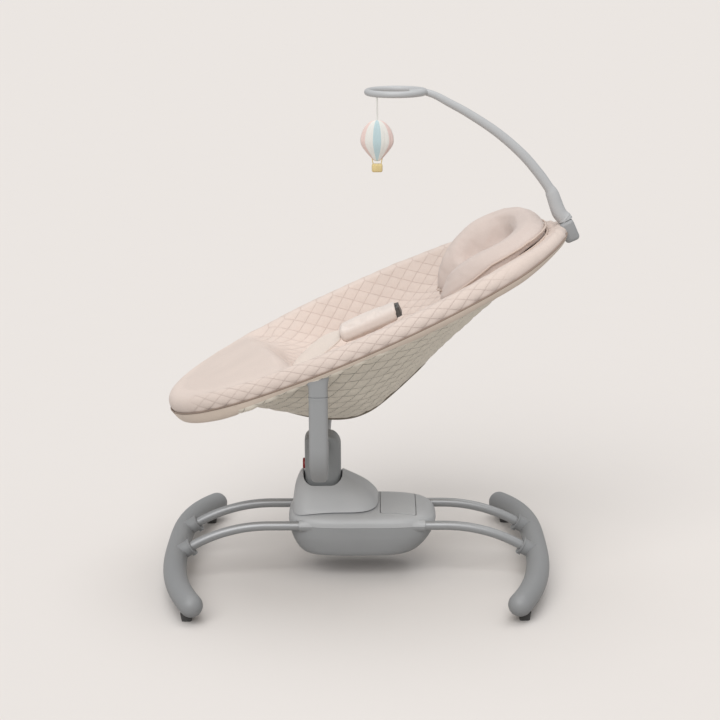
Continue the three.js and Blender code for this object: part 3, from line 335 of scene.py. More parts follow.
def applyModifiers(piece, sharpDegrees=38):
    bpy.context.view_layer.update()
    shown = piece.evaluated_get(bpy.context.evaluated_depsgraph_get())
    mesh = bpy.data.meshes.new_from_object(shown)
    piece.modifiers.clear()
    old = piece.data
    piece.data = mesh
    mesh.name = old.name
    bpy.data.meshes.remove(old)
    mesh.shade_smooth()
    mesh.set_sharp_from_angle(angle=math.radians(sharpDegrees))


def thicken(piece, thickness, offset=-1, sharpDegrees=38):
    wall = piece.modifiers.new("wall", "SOLIDIFY")
    wall.thickness = thickness
    wall.offset = offset
    applyModifiers(piece, sharpDegrees)


def carve(piece, cutters, operation="DIFFERENCE"):
    for cutter in cutters:
        change = piece.modifiers.new("carve", "BOOLEAN")
        change.operation = operation
        change.object = cutter
        change.solver = "MANIFOLD"
    applyModifiers(piece)
    for cutter in cutters:
        bpy.data.objects.remove(cutter)


def boxMiddle(box):
    return (box[0] + box[1]) / 2


def superPoint(angle, halfX, halfY, power):
    c, s = math.cos(angle), math.sin(angle)
    return (
        halfX * math.copysign(abs(c) ** (2 / power), c),
        halfY * math.copysign(abs(s) ** (2 / power), s),
    )


def clamp(value, low=0, high=1):
    return min(max(value, low), high)


def smoothStep(low, high, value):
    t = clamp((value - low) / (high - low))
    return t * t * (3 - 2 * t)


def tableSpot(table, t):
    place = clamp(t) * (len(table) - 1)
    i = min(int(place), len(table) - 2)
    return i, place - i


# a row read from a table by straight steps, t from 0 to 1
def straightTable(table, t):
    i, f = tableSpot(table, t)
    return [a + (b - a) * f for a, b in zip(table[i], table[i + 1])]


# a row read from a table by a smooth curve through its rows, t from 0 to 1
def alongTable(table, t):
    i, f = tableSpot(table, t)
    p0, p1, p2, p3 = (table[clamp(i + k, 0, len(table) - 1)] for k in (-1, 0, 1, 2))
    return [
        0.5 * (2 * b + (c - a) * f + (2 * a - 5 * b + 4 * c - d) * f * f + (3 * b - a - 3 * c + d) * f ** 3)
        for a, b, c, d in zip(p0, p1, p2, p3)
    ]


# a closed tube: path(t) gives its middle, halves(t) its two half sizes
def tubeForm(path, halves, columns, rows, power=2.0, acrossAxis=(0, 1, 0)):
    across = Vector(acrossAxis)
    near = 0.001

    def place(u, v):
        t = clamp(v)
        ahead = (path(min(t + near, 1)) - path(max(t - near, 0))).normalized()
        side = (across - ahead * across.dot(ahead)).normalized()
        a, b = superPoint(math.tau * u, *halves(t), power)
        return path(t) + side * a + ahead.cross(side) * b
    return laidForm(columns, rows, place, capped=True)


# turns a profile of (along, radius) pairs round the local Z axis
def spunForm(profile, steps=48):
    bm = bmesh.new()
    verts = [bm.verts.new((radius, 0, along)) for along, radius in profile]
    edges = [bm.edges.new(pair) for pair in zip(verts, verts[1:])]
    bmesh.ops.spin(
        bm, geom=verts + edges, cent=(0, 0, 0), axis=(0, 0, 1), angle=math.tau, steps=steps, use_merge=True,
    )
    closeSeams(bm, 0.00001)
    return bm


def roundedBlock(size, corner, segments, uprightOnly=False):
    bm = bmesh.new()
    bmesh.ops.create_cube(bm, size=1)
    bmesh.ops.scale(bm, verts=bm.verts, vec=size)
    rounded = [
        e for e in bm.edges
        if not uprightOnly or abs((e.verts[0].co - e.verts[1].co).normalized().z) > 0.9
    ]
    bevelEdges(bm, rounded, corner, segments)
    return bm


def bevelEdges(bm, edges, offset, segments):
    bmesh.ops.bevel(
        bm, geom=edges, offset=offset, affect="EDGES", segments=segments, profile=0.5, material=-1,
        clamp_overlap=True,
    )




legSettings = {"radius": 0.0185, "bow": 0.042, "middleHeight": 0.040, "endHeight": 0.029, "capShare": 0.06}
tubeSettings = {
    "radius": 0.0075, "spacing": 0.125, "height": 0.0915, "bend": 0.25, "slope": 30, "insert": 0.0245,
    "clearance": 0.0003,
}
sleeveSettings = {
    "wall": 0.0048, "lip": 0.0013, "reach": 0.014, "overlap": 0.004, "length": 0.036, "bore": 0.022,
}
sides = (("left", -1), ("right", 1))
rows = (("near", -1), ("far", 1))
legBoxes = {-1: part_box("leg_left"), 1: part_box("leg_right")}
legEndY = legBoxes[-1][1].y - legSettings["radius"]
tubeSlope = math.radians(tubeSettings["slope"])


def slopeDirection(side):
    return Vector((side * math.cos(tubeSlope), 0, -math.sin(tubeSlope)))


def legPoint(side, t):
    s = legSettings
    outer = legBoxes[side][0].x if side < 0 else legBoxes[side][1].x
    return Vector((
        outer - side * (s["radius"] + s["bow"] * abs(t) ** 3),
        legEndY * t,
        s["middleHeight"] - (s["middleHeight"] - s["endHeight"]) * t * t,
    ))


def sleeveMouth(side, row):
    s = sleeveSettings
    y = row * tubeSettings["spacing"] / 2
    reach = legSettings["radius"] + s["reach"] * math.cos(tubeSlope) - s["overlap"]
    drop = tubeSettings["bend"] * (1 - math.cos(tubeSlope))
    return Vector((legPoint(side, y / legEndY).x - side * reach, y, tubeSettings["height"] - drop))


# a sleeve spun from its mouth: bore, rounded lip, then its wall down into the leg
def sleeveForm(side, row):
    s = sleeveSettings
    inner = tubeSettings["radius"] + tubeSettings["clearance"]
    wall = inner + s["wall"]
    lip = wall + s["lip"]
    part = spunForm([
        (s["bore"], inner), (0.001, inner), (0, inner + 0.0008), (0, lip - 0.0008), (0.0008, lip),
        (0.0026, lip), (0.0034, wall + 0.0002), (0.010, wall), (s["length"] - 0.003, wall),
        (s["length"], wall - 0.002), (s["length"], inner), (s["bore"], inner),
    ])
    shifted(part, aimed(slopeDirection(side), sleeveMouth(side, row)))
    return part


def makeLeg(side, sideName):
    radius, cap = legSettings["radius"], legSettings["capShare"]

    def place(u, v):
        t = clamp((v - cap) / (1 - 2 * cap))
        near, far = (legPoint(side, 2 * clamp(t + d) - 1) for d in (-0.001, 0.001))
        ahead = (far - near).normalized()
        sideways = Vector((ahead.y, -ahead.x, 0)).normalized()
        turn = 0.0
        if v < cap:
            turn = -(1 - v / cap) * math.pi / 2
        elif v > 1 - cap:
            turn = (v - 1 + cap) / cap * math.pi / 2
        a = math.tau * u
        ring = (sideways * math.cos(a) + sideways.cross(ahead) * math.sin(a)) * radius * math.cos(turn)
        return legPoint(side, 2 * t - 1) + ring + ahead * radius * math.sin(turn)
    bm = laidForm(48, 110, place)
    for _, row in rows:
        joinForm(bm, sleeveForm(side, row))
    settle(newPiece(f"{sideName}Leg", bm, "legMoulding"), "base", "leg_plastic", f"leg_{sideName}")


# level out of the housing, bent over, then straight down into the sleeve
def makeBaseTube(side, sideName, row, rowName):
    s = tubeSettings
    node = f"base_tube_{sideName}_{rowName}"
    mouth = sleeveMouth(side, row)
    bendStart = mouth.x - side * s["bend"] * math.sin(tubeSlope)
    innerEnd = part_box(node)[1 if side < 0 else 0].x
    level = abs(bendStart - innerEnd)
    bent = level + s["bend"] * tubeSlope
    whole = bent + s["insert"]

    def path(t):
        d = t * whole
        if d <= level:
            return Vector((innerEnd + side * d, mouth.y, s["height"]))
        if d <= bent:
            a = (d - level) / s["bend"]
            return Vector((
                bendStart + side * s["bend"] * math.sin(a), mouth.y, s["height"] - s["bend"] * (1 - math.cos(a)),
            ))
        return mouth + slopeDirection(side) * (d - bent)
    bm = tubeForm(path, lambda t: (s["radius"], s["radius"]), 32, 60)
    piece = newPiece(f"{sideName}{rowName.capitalize()}Tube", bm, "tubeSteel")
    settle(piece, "base", "steel", node)


for sideName, side in sides:
    makeLeg(side, sideName)
    for rowName, row in rows:
        makeBaseTube(side, sideName, row, rowName)
print("legs and tubes made")

housingSettings = {
    "power": 3.5,
    "wall": 0.0028,
    "parting": 0.00015,  # half the gap between the two shells
    "fairing": {"proud": 0.002, "length": 0.020, "nose": 0.012, "out": 0.0015},
    "tubeHoles": ((-0.2, -0.080), (0.05, 0.2)),
    "postSlot": (0.006, 0.016),  # room round the post in the cover
    "postCorner": 0.012,
    "lidGap": 0.0016,
    "lidCorner": 0.004,
    # share of the height from the parting line, then insets at left, right and both sides
    "lower": [(0.0, 0, 0, 0), (0.20, 0.0014, 0.003, 0.0006), (0.42, 0.004, 0.008, 0.002), (0.70, 0.010, 0.018, 0.006),
              (0.92, 0.018, 0.031, 0.011), (1.0, 0.028, 0.044, 0.018), (1.0, 0.060, 0.080, 0.045),
              (1.0, 0.1205, 0.1205, 0.078)],
    "upper": [(0, 0, 0, 0), (0.04, 0, 0, 0), (0.3, 0.0005, 0.003, 0.001), (0.57, 0.004, 0.011, 0.007),
              (0.78, 0.010, 0.027, 0.022), (0.93, 0.016, 0.048, 0.042), (1, 0.023, 0.068, 0.062),
              (1.0, 0.07, 0.095, 0.072), (1.0, 0.1205, 0.1205, 0.078)],
}
lowerBox, upperBox, lidBox, postBox = (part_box(n) for n in ("housing_lower", "housing_upper", "battery_lid", "post"))
splitHeight = tubeSettings["height"]
housingLeft, housingRight = upperBox[0].x, upperBox[1].x
housingHalf = upperBox[1].y
postMiddle = boxMiddle(postBox)
postSize = postBox[1] - postBox[0]


def housingForm(table, fromZ, toZ, lift=0.0, capped=False):
    def place(u, v):
        share, left, right, depth = alongTable(table, v)
        low, high = housingLeft + max(left, 0), housingRight - max(right, 0)
        half = max(housingHalf - max(depth, 0), 0)
        x, y = superPoint(math.tau * u, (high - low) / 2, half, housingSettings["power"])
        return Vector(((low + high) / 2 + x, y, fromZ + (toZ - fromZ) * min(share, 1) + lift))
    return laidForm(120, 56, place, 0.00005, capped)


def housingShell(name, table, toZ, gap):
    piece = newPiece(name, housingForm(table, splitHeight + gap, toZ), "greyMoulding")
    thicken(piece, housingSettings["wall"])
    return piece


def plateCutter(sizeX, sizeY, corner, x, low, high):
    bm = roundedBlock((sizeX, sizeY, high - low), corner, 6, True)
    bmesh.ops.translate(bm, verts=bm.verts, vec=(x, 0, (low + high) / 2))
    return newPiece("cutter", bm, "greyMoulding")


def rodCutter(start, end, radius):
    bm = bmesh.new()
    axis = Vector(end) - Vector(start)
    bmesh.ops.create_cone(bm, cap_ends=True, segments=40, radius1=radius, radius2=radius, depth=axis.length)
    shifted(bm, aimed(axis, (Vector(start) + Vector(end)) / 2))
    return newPiece("cutter", bm, "greyMoulding")


def tubeCutters():
    s = tubeSettings
    return [
        rodCutter((x0, row * s["spacing"] / 2, splitHeight), (x1, row * s["spacing"] / 2, splitHeight),
                  s["radius"] + s["clearance"])
        for _, row in rows for x0, x1 in housingSettings["tubeHoles"]
    ]


def lidCutter(growth):
    size = lidBox[1] - lidBox[0]
    corner = housingSettings["lidCorner"]
    return plateCutter(size.x + growth, size.y + growth, corner, boxMiddle(lidBox).x, splitHeight + 0.001, 0.2)


# half of a short round-nosed fairing at each tube, above the parting line (up 1) or below it (up -1)
def fairings(up):
    half = (housingRight - housingLeft) / 2
    lane = tubeSettings["spacing"] / 2
    power, s = housingSettings["power"], housingSettings["fairing"]
    entry = half * (1 - (lane / housingHalf) ** power) ** (1 / power)
    radius = tubeSettings["radius"] + s["proud"]
    turns = [k * math.pi / 20 for k in range(11)]
    nose = [(s["length"] + s["nose"] * math.sin(a), radius * math.cos(a)) for a in turns]
    made = []
    for side, row in [(side, row) for _, side in sides for _, row in rows]:
        bm = spunForm([(0, 0), (0, radius - 0.001), (0.001, radius), *nose], 40)
        middle = (housingLeft + housingRight) / 2 + side * (entry + s["out"])
        shifted(bm, aimed((-side, 0, 0), (middle, row * lane, splitHeight)))
        cut = bmesh.ops.bisect_plane(
            bm, geom=bm.verts[:] + bm.edges[:] + bm.faces[:], dist=0.00001, clear_outer=True,
            plane_co=(0, 0, splitHeight + up * housingSettings["parting"]), plane_no=(0, 0, -up),
        )
        bmesh.ops.holes_fill(bm, edges=[e for e in cut["geom_cut"] if isinstance(e, bmesh.types.BMEdge)])
        capEnds(bm)
        made.append(newPiece("fairing", bm, "greyMoulding"))
    return made


def makeHousing():
    s = housingSettings
    slotX, slotY = s["postSlot"]
    lower = housingShell("housingTray", s["lower"], lowerBox[0].z, -s["parting"])
    carve(lower, fairings(-1), "UNION")
    carve(lower, tubeCutters())
    settle(lower, "base", "leg_plastic", "housing_lower")
    upper = housingShell("housingCover", s["upper"], upperBox[1].z, s["parting"])
    carve(upper, fairings(1), "UNION")
    slot = plateCutter(
        postSize.x + slotX, postSize.y + slotY, s["postCorner"], postMiddle.x, splitHeight + 0.004, 0.2,
    )
    carve(upper, [*tubeCutters(), slot, lidCutter(s["lidGap"])])
    # painted top light: the cover is given the lighter copy of the grey moulding
    upper.data.materials[0] = finishes["coverMouldingPaintedLight"]
    settle(upper, "base", "leg_plastic", "housing_upper")
    lid = housingShell("batteryDoor", s["upper"], upperBox[1].z, s["parting"])
    carve(lid, [lidCutter(-0.0004)], "INTERSECT")
    # painted top light: the battery door is given the lighter copy of the grey moulding
    lid.data.materials[0] = finishes["coverMouldingPaintedLight"]
    settle(lid, "lid", "leg_plastic", "battery_lid")


hoodSettings = {
    "base": 0.104,
    "sunk": 0.006,
    "power": 4.5,
    "length": 0.143,
    "half": 0.065,
    "gap": 0.003,  # over the cover
    "slot": (0.005, 0.074),
    "slotCorner": 0.018,
    "rows": [(0, 0, 0, 0), (0.1, 0, 0, 0.0003), (0.22, 0.0003, 0.0003, 0.002), (0.42, 0.002, 0.005, 0.011),
             (0.65, 0.005, 0.021, 0.022), (0.85, 0.010, 0.044, 0.034), (1, 0.017, 0.064, 0.047),
             (1.0, 0.035, 0.078, 0.055), (1.0, 0.0715, 0.0715, 0.065)],
}


def makeHood():
    s = hoodSettings
    start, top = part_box("hood")
    bottom = s["base"] - s["sunk"]

    def place(u, v):
        share, left, right, depth = alongTable(s["rows"], v)
        low, high = start.x + left, start.x + s["length"] - right
        x, y = superPoint(math.tau * u, (high - low) / 2, max(s["half"] - depth, 0), s["power"])
        return Vector(((low + high) / 2 + x, y, bottom + (top.z - bottom) * min(share, 1)))
    hood = newPiece("postHood", laidForm(132, 64, place, 0.00005), "greyMoulding")
    thicken(hood, housingSettings["wall"])
    under = housingForm(housingSettings["upper"], splitHeight, upperBox[1].z, s["gap"], True)
    slotX, slotY = s["slot"]
    carve(hood, [
        newPiece("cutter", under, "greyMoulding"),
        plateCutter(postSize.x + slotX, slotY, s["slotCorner"], postMiddle.x, 0.06, 0.3),
    ])
    # painted top light: the hood is given the lighter copy of the grey moulding
    hood.data.materials[0] = finishes["coverMouldingPaintedLight"]
    settle(hood, "base", "leg_plastic", "hood")


makeHousing()
makeHood()
print("housing made")

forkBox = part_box("fork")
forkSettings = {"width": 0.029, "waist": 0.022, "thickness": 0.024, "bend": 0.055, "lip": 0.0006}
postSettings = {"leftCorner": 0.011, "rightCorner": 0.021, "edge": 0.004, "power": 5, "topGap": 0.0006}


def makePost():
    s = postSettings
    low, high = postBox

    def place(u, v):
        height = low.z + (high.z - low.z) * v

        def inset(radius):
            return radius - math.sqrt(max(radius ** 2 - max(radius - high.z + height, 0) ** 2, 0))
        x0, x1 = low.x + 0.9 * inset(s["leftCorner"]), high.x - 0.9 * inset(s["rightCorner"])
        x, y = superPoint(math.tau * u, (x1 - x0) / 2, postSize.y / 2 - inset(s["edge"]), s["power"])
        return Vector(((x0 + x1) / 2 + x, y, height - s["topGap"] * smoothStep(0.0, 1.0, v)))
    post = newPiece("swingPost", laidForm(96, 90, place, capped=True), "darkMoulding")
    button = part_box("release_button")
    height = boxMiddle(button).z
    radius = (button[1].y - button[0].y) / 2 + 0.0006
    carve(post, [rodCutter((low.x - 0.01, 0, height), (button[1].x + 0.003, 0, height), radius)])
    settle(post, "swing", "dark_plastic", "post")


def makeReleaseButton():
    low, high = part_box("release_button")
    radius, length = (high.y - low.y) / 2, high.x - low.x
    bm = spunForm([
        (0, 0), (0, radius), (length - 0.0012, radius), (length - 0.0003, radius - 0.0004),
        (length, radius - 0.0014), (length - 0.0004, radius - 0.003), (length - 0.0009, 0),
    ])
    shifted(bm, aimed((-1, 0, 0), (high.x, 0, (low.z + high.z) / 2)))
    settle(newPiece("releaseCatch", bm, "redButton"), "post_button", "red_plastic", "release_button")


def makeFork():
    s = forkSettings
    reach = forkBox[1].y - s["thickness"] / 2
    level = forkBox[0].z + s["thickness"] / 2
    top = forkBox[1].z
    upright = top - level - s["bend"]
    flat = reach - s["bend"]
    quarter = s["bend"] * math.pi / 2
    whole = 2 * (upright + quarter + flat)

    def path(t):
        d = t * whole
        mirror = 1
        if d > whole / 2:
            d, mirror = whole - d, -1
        a = (d - upright) / s["bend"]
        if d < upright:
            y, z = reach, top - d
        elif d < upright + quarter:
            y, z = flat + s["bend"] * math.cos(a), level + s["bend"] * (1 - math.sin(a))
        else:
            y, z = flat - (d - upright - quarter), level
        return Vector((postMiddle.x, mirror * y, z))

    def halves(t):
        d = min(t, 1 - t) * whole
        narrow = smoothStep(upright + quarter * 0.2, upright + quarter + 0.03, d)
        rim = s["lip"] * (1 - smoothStep(0.002, 0.0024, d))
        return s["width"] / 2 - (s["width"] - s["waist"]) / 2 * narrow + rim, s["thickness"] / 2 + rim
    bm = tubeForm(path, halves, 56, 180, 4, (1, 0, 0))
    bevelEdges(bm, [e for e in bm.edges if len(e.link_faces) == 2 and e.calc_face_angle(0) > 1.2], 0.001, 3)
    settle(newPiece("seatFork", bm, "greyMoulding"), "swing", "leg_plastic", "fork")


makePost()
makeReleaseButton()
makeFork()
print("post and fork made")


# the seat's own frame: X to the head, Y across, Z square to the ring
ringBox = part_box("seat_ring")
ringSettings = {
    "halfLength": 0.334, "halfWidth": 0.238, "rim": 0.0175, "inset": 0.016, "pole": -0.045, "tilt": 23.8,
    "columns": 320, "slimHead": 0.36, "piping": -20, "underside": -62, "innerTurn": 104,  # degrees
}
# depths below the ring, the lowest place, and the run and curve of the slope to each end
liningBucket = {
    "edge": 0.009, "depth": 0.124, "lowest": -0.050, "footRun": 0.120, "headRun": 0.330,
    "footPower": 1.3, "headPower": 1.3, "across": 2.1, "soften": 0.12,
}
pouchBucket = {
    "edge": 0.020, "depth": 0.144, "lowest": -0.066, "footRun": 0.184, "headRun": 0.343,
    "footPower": 1.5, "headPower": 0.96, "across": 1.7, "soften": 0.10,
}
seatPlace = Matrix.Translation(boxMiddle(ringBox)) @ Matrix.Rotation(-math.radians(ringSettings["tilt"]), 4, "Y")
pipingTurn = math.radians(ringSettings["piping"])
ringColumns = ringSettings["columns"]


# a place on the ring, and the way out from it
def ringFrame(angle):
    a, b = ringSettings["halfLength"], ringSettings["halfWidth"]
    x, y = superPoint(angle, a, b, 2)
    size = math.hypot(x / (a * a), y / (b * b))
    return x, y, x / (a * a) / size, y / (b * b) / size


# angles that lie evenly round the ring
def evenAngles(count):
    fine = 4000
    points = [ringFrame(math.tau * i / fine)[:2] for i in range(fine + 1)]
    lengths = [0.0]
    for p, q in zip(points, points[1:]):
        lengths.append(lengths[-1] + math.dist(p, q))
    angles, k = [], 0
    for i in range(count + 1):
        wanted = lengths[-1] * i / count
        while k < fine and lengths[k + 1] < wanted:
            k += 1
        span = max(lengths[min(k + 1, fine)] - lengths[k], 1e-12)
        angles.append(math.tau * (k + min((wanted - lengths[k]) / span, 1)) / fine)
    return angles


ringAngles = evenAngles(ringColumns)


def ringAngle(u):
    return ringAngles[round(u * ringColumns)]


def mouthHalf(x):
    r = ringSettings
    share = min(abs(x) / (r["halfLength"] - r["inset"]), 1)
    return max((r["halfWidth"] - r["inset"]) * math.sqrt(1 - share ** 2), 0.001)


def bucketDepth(bucket, x, y):
    end = "foot" if x < bucket["lowest"] else "head"
    share = min(abs(x - bucket["lowest"]) / bucket[f"{end}Run"], 1)
    soft = bucket["soften"]
    share = (math.hypot(share, soft) - soft) / (math.hypot(1, soft) - soft)
    middle = (bucket["depth"] - bucket["edge"]) * (1 - share ** bucket[f"{end}Power"])
    across = min(abs(y) / mouthHalf(x), 1)
    return bucket["edge"] + middle * (1 - across ** bucket["across"])


panelSettings = {
    "x": -0.178, "bulge": 0.05, "bulgeY": -0.19, "bulgeHalf": 0.22, "farSweep": 0.032,
    "before": 0.020, "after": 0.03,  # where the drop to the bowl begins and ends
    "height": 0.0165, "crown": 0.011, "bagRoom": 0.009,
}


# where the taut plain panel at the foot gives way to the quilted bowl
def panelEdge(y):
    s = panelSettings
    bulge = s["bulge"] * math.cos(min(abs(y - s["bulgeY"]) / s["bulgeHalf"], 1) * math.pi / 2)
    return s["x"] + bulge - s["farSweep"] * smoothStep(0.03, 0.20, y)


def liningHeight(x, y):
    r, s = ringSettings, panelSettings
    edge = panelEdge(y)
    panel = 1 - smoothStep(edge - s["before"], edge + s["after"], x)
    taut = s["height"] + s["crown"] * max(1 - (x / r["halfLength"]) ** 2 - (y / r["halfWidth"]) ** 2, 0)
    inside = min(bucketDepth(liningBucket, x, y), bucketDepth(pouchBucket, x, y) - s["bagRoom"])
    return -inside * (1 - panel) + taut * panel


# the padded rim slims down towards the socket at the head
def rimPoint(angle, turn, radius):
    x, y, outX, outY = ringFrame(angle)
    radius *= 1 - ringSettings["slimHead"] * smoothStep(0.70, 0.98, x / ringSettings["halfLength"])
    out = radius * math.cos(turn)
    return Vector((x + out * outX, y + out * outY, radius * math.sin(turn)))


def quiltPuff(u, v, quilt):
    along, across = math.pi * u / quilt["length"], math.pi * v / quilt["width"]
    return abs(math.sin(along + across) * math.sin(along - across)) ** 0.5


# length of the cloth across the seat, from the mouth in to y
def acrossLength(height, x, y, steps=14):
    total, edge = 0.0, mouthHalf(x)
    inner = min(abs(y), edge)
    before = height(x, edge)
    for i in range(1, steps + 1):
        z = height(x, edge + (inner - edge) * i / steps)
        total += math.hypot((edge - inner) / steps, z - before)
        before = z
    return total


def rimClear(point):
    r, room = ringSettings, 0.03
    return math.hypot(point.x / (r["halfLength"] - room), point.y / (r["halfWidth"] - room)) < 1


# from an edge on the rim in to the pole of the bowl, easing off the edge's own height
def bowlPoint(edge, share, height, ease):
    pole = ringSettings["pole"]
    x, y = pole + (edge.x - pole) * share, edge.y * share
    lift = (edge.z - height(edge.x, edge.y)) * (1 - smoothStep(0.0, ease, 1 - share))
    return Vector((x, y, height(x, y) + lift))


def seatGrid(rowCount):
    bm = bmesh.new()
    quilted = bm.verts.layers.float.new("quilted")
    layer = bm.loops.layers.uv.verify()
    bmesh.ops.create_grid(bm, x_segments=ringColumns, y_segments=rowCount, size=0.5, calc_uvs=True)
    spots = {vert: (ringAngle(vert.co.x + 0.5), vert.co.y + 0.5) for vert in bm.verts}
    return bm, quilted, layer, spots


def seatPiece(name, bm, finish, slotName, *nodes, sharpDegrees=38):
    shifted(bm, seatPlace)
    settle(newPiece(name, bm, finish, sharpDegrees), "swing", slotName, *nodes)


def layCloth(bm, layer, cloth):
    for face in bm.faces:
        for corner in face.loops:
            corner[layer].uv = cloth[corner.vert]
    closeSeams(bm, 0.00002)


def smoothVerts(bm, verts):
    bmesh.ops.smooth_vert(bm, verts=verts, factor=0.5, use_axis_x=True, use_axis_y=True, use_axis_z=True)


# pushes every point along its normal by rise(vert, u, v)
def raiseCloth(bm, layer, facing, rise):
    moves = {vert: vert.normal * facing * rise(vert, *vert.link_loops[0][layer].uv) for vert in bm.verts}
    for vert, move in moves.items():
        vert.co += move
    shifted(bm, seatPlace)


liningSettings = {
    "rows": 150, "rimShare": 0.36, "ease": 0.24, "quiltHead": (0.19, 0.27), "rimQuiltFoot": (-0.310, -0.285),
    "puff": 0.0019, "ruche": 0.0012, "folds": 0.0005, "thickness": 0.002,
}


# the cloth comes up round the rim from under the piping and leaves it near the top for the bowl
def makeLining():
    s = liningSettings
    rim, rimShare = ringSettings["rim"], s["rimShare"]
    firstTurn, lastTurn = math.radians(ringSettings["underside"]), math.radians(ringSettings["innerTurn"])
    bm, quilted, layer, spots = seatGrid(s["rows"])
    cloth = {}
    for vert, (angle, v) in spots.items():
        if v <= rimShare:
            vert.co = rimPoint(angle, firstTurn + (lastTurn - firstTurn) * v / rimShare, rim)
            cloth[vert] = vert.co.x, -(lastTurn - firstTurn) * (1 - v / rimShare) * rim
        else:
            share = 1 - (v - rimShare) / (1 - rimShare)
            vert.co = bowlPoint(rimPoint(angle, lastTurn, rim), share, liningHeight, s["ease"])
            cloth[vert] = vert.co.x, acrossLength(liningHeight, vert.co.x, vert.co.y)
        foot = smoothStep(-0.005, 0.005, vert.co.x - panelEdge(vert.co.y))
        if v < rimShare * 0.86:
            foot = smoothStep(*s["rimQuiltFoot"], vert.co.x)
        vert[quilted] = (1 - smoothStep(*s["quiltHead"], vert.co.x)) * foot * smoothStep(0.02, 0.05, v)
    layCloth(bm, layer, cloth)
    inside = [v for v in bm.verts if v.co.z < 0.02 and rimClear(v.co)]
    for _ in range(4):
        smoothVerts(bm, inside)
    bm.normal_update()
    up = 1 if max(bm.verts, key=lambda v: v.co.z).normal.z > 0 else -1

    def rise(vert, u, v):
        x, y, z = vert.co
        fromEdge = x - panelEdge(y)
        band = 1 if rimClear(vert.co) else 0.35 + 0.65 * smoothStep(-0.004, 0.004, -z)
        puff = s["puff"] * (quiltPuff(u, v, liningQuilt) - 0.6) * vert[quilted] * band
        slack = 0.3 + 0.7 * smoothStep(-0.04, 0.02, fromEdge)  # the foot panel is pulled smooth
        ripple = slack * (0.0010 * noise.noise(vert.co * 16) + 0.0004 * noise.noise(vert.co * 45))
        gathered = smoothStep(0.292, 0.315, x) * (1 - smoothStep(0.05, 0.075, abs(y)))
        ruche = s["ruche"] * gathered * math.sin(y * 900 + 2 * noise.noise(vert.co * 60))
        folds = math.sin(y * 55 + 40 * x + 3 * noise.noise(vert.co * 9)) * math.exp(-(fromEdge / 0.04) ** 2)
        return puff + ripple + ruche + s["folds"] * folds
    raiseCloth(bm, layer, up, rise)
    lining = newPiece("quiltedLining", bm, "liningCloth", 60)
    thicken(lining, s["thickness"], -up, 60)
    settle(lining, "swing", "lining", "seat_lining")


pouchSettings = {
    "rows": 120, "skirt": 0.08, "ease": 0.3, "gusset": 0.042, "border": -0.226, "fullness": 0.010,
    "puff": 0.0026, "groove": 0.0015, "offset": 0.0028, "tuck": 0.04, "thickness": 0.002, "cord": 0.0018,
}


def pouchHeight(x, y):
    return -bucketDepth(pouchBucket, x, y)


# hangs from just under the piping, round the rim's underside and into the bucket
def pouchPoint(angle, v):
    s = pouchSettings
    first, last = pipingTurn - s["tuck"], math.radians(ringSettings["underside"])
    turn = first + (last - first) * min(v / s["skirt"], 1)
    edge = rimPoint(angle, turn, ringSettings["rim"] + s["offset"])
    towardsFoot = smoothStep(0.35, 0.8, -edge.x / ringSettings["halfLength"])
    edge.z -= s["fullness"] * towardsFoot * smoothStep(0.3, 0.87, -math.sin(turn))
    if v <= s["skirt"]:
        return edge
    return bowlPoint(edge, 1 - (v - s["skirt"]) / (1 - s["skirt"]), pouchHeight, s["ease"])


def makePouch():
    s = pouchSettings
    bm, quilted, layer, spots = seatGrid(s["rows"])
    cloth, borders = {}, {}
    for vert, (angle, v) in spots.items():
        vert.co = pouchPoint(angle, v)
        x, y = vert.co.xy
        skirtLeft = max(s["skirt"] - v, 0) / s["skirt"] * 0.73 * ringSettings["rim"]
        cloth[vert] = (x, acrossLength(pouchHeight, x, y) - skirtLeft)
        towardsHead = 0.20 * smoothStep(0.0, 0.24, x)
        borders[vert] = 1 - smoothStep(0.03 + towardsHead, 0.05 + towardsHead, v)
        plain = smoothStep(s["gusset"] - 0.002, s["gusset"] + 0.002, abs(y))
        vert[quilted] = plain * (1 - borders[vert]) * smoothStep(s["border"] + 0.004, s["border"] + 0.009, x)
    for face in bm.faces:
        bare = face.calc_center_median().x < s["border"] or min(borders[v] for v in face.verts) > 0.5
        face.material_index = 1 if bare else 0
    layCloth(bm, layer, cloth)
    for _ in range(3):
        smoothVerts(bm, [v for v in bm.verts if not v.is_boundary and rimClear(v.co)])
    bm.normal_update()
    down = -1 if min(bm.verts, key=lambda v: v.co.z).normal.z > 0 else 1

    def rise(vert, u, v):
        x, y = vert.co.xy
        puff = s["puff"] * (quiltPuff(u, v, pouchQuilt) - 0.6) * vert[quilted]
        grooves = math.exp(-((x - s["border"]) / 0.003) ** 2)
        if x > s["border"]:
            grooves += math.exp(-((abs(y) - s["gusset"]) / 0.0025) ** 2)
        loose = 1.0 if rimClear(vert.co) else 0.3
        ripple = loose * (0.0016 * noise.noise(vert.co * 14) + 0.0008 * noise.noise(vert.co * 38))
        return puff - s["groove"] * grooves + ripple
    raiseCloth(bm, layer, down, rise)
    pouch = newPiece("quiltedPouch", bm, "pouchCloth", 60)
    pouch.data.materials.append(finishes["rimCloth"])
    thicken(pouch, s["thickness"], -down, 60)
    settle(pouch, "swing", "pouch", "seat_pouch")


# cord sewn into one of the pouch's two long bottom seams
def makePouchSeam(rowName, row):
    s = pouchSettings

    def path(t):
        x = s["border"] + 0.03 + 0.25 * t
        y = row * s["gusset"] * math.sin(math.pi * clamp(t, 0.02, 0.98)) ** 0.25
        return Vector((x, y, pouchHeight(x, y) - 0.0010))
    bm = tubeForm(path, lambda t: (s["cord"], s["cord"]), 10, 140)
    seatPiece(f"{rowName}PouchSeam", bm, "seamCloth", "pouch")


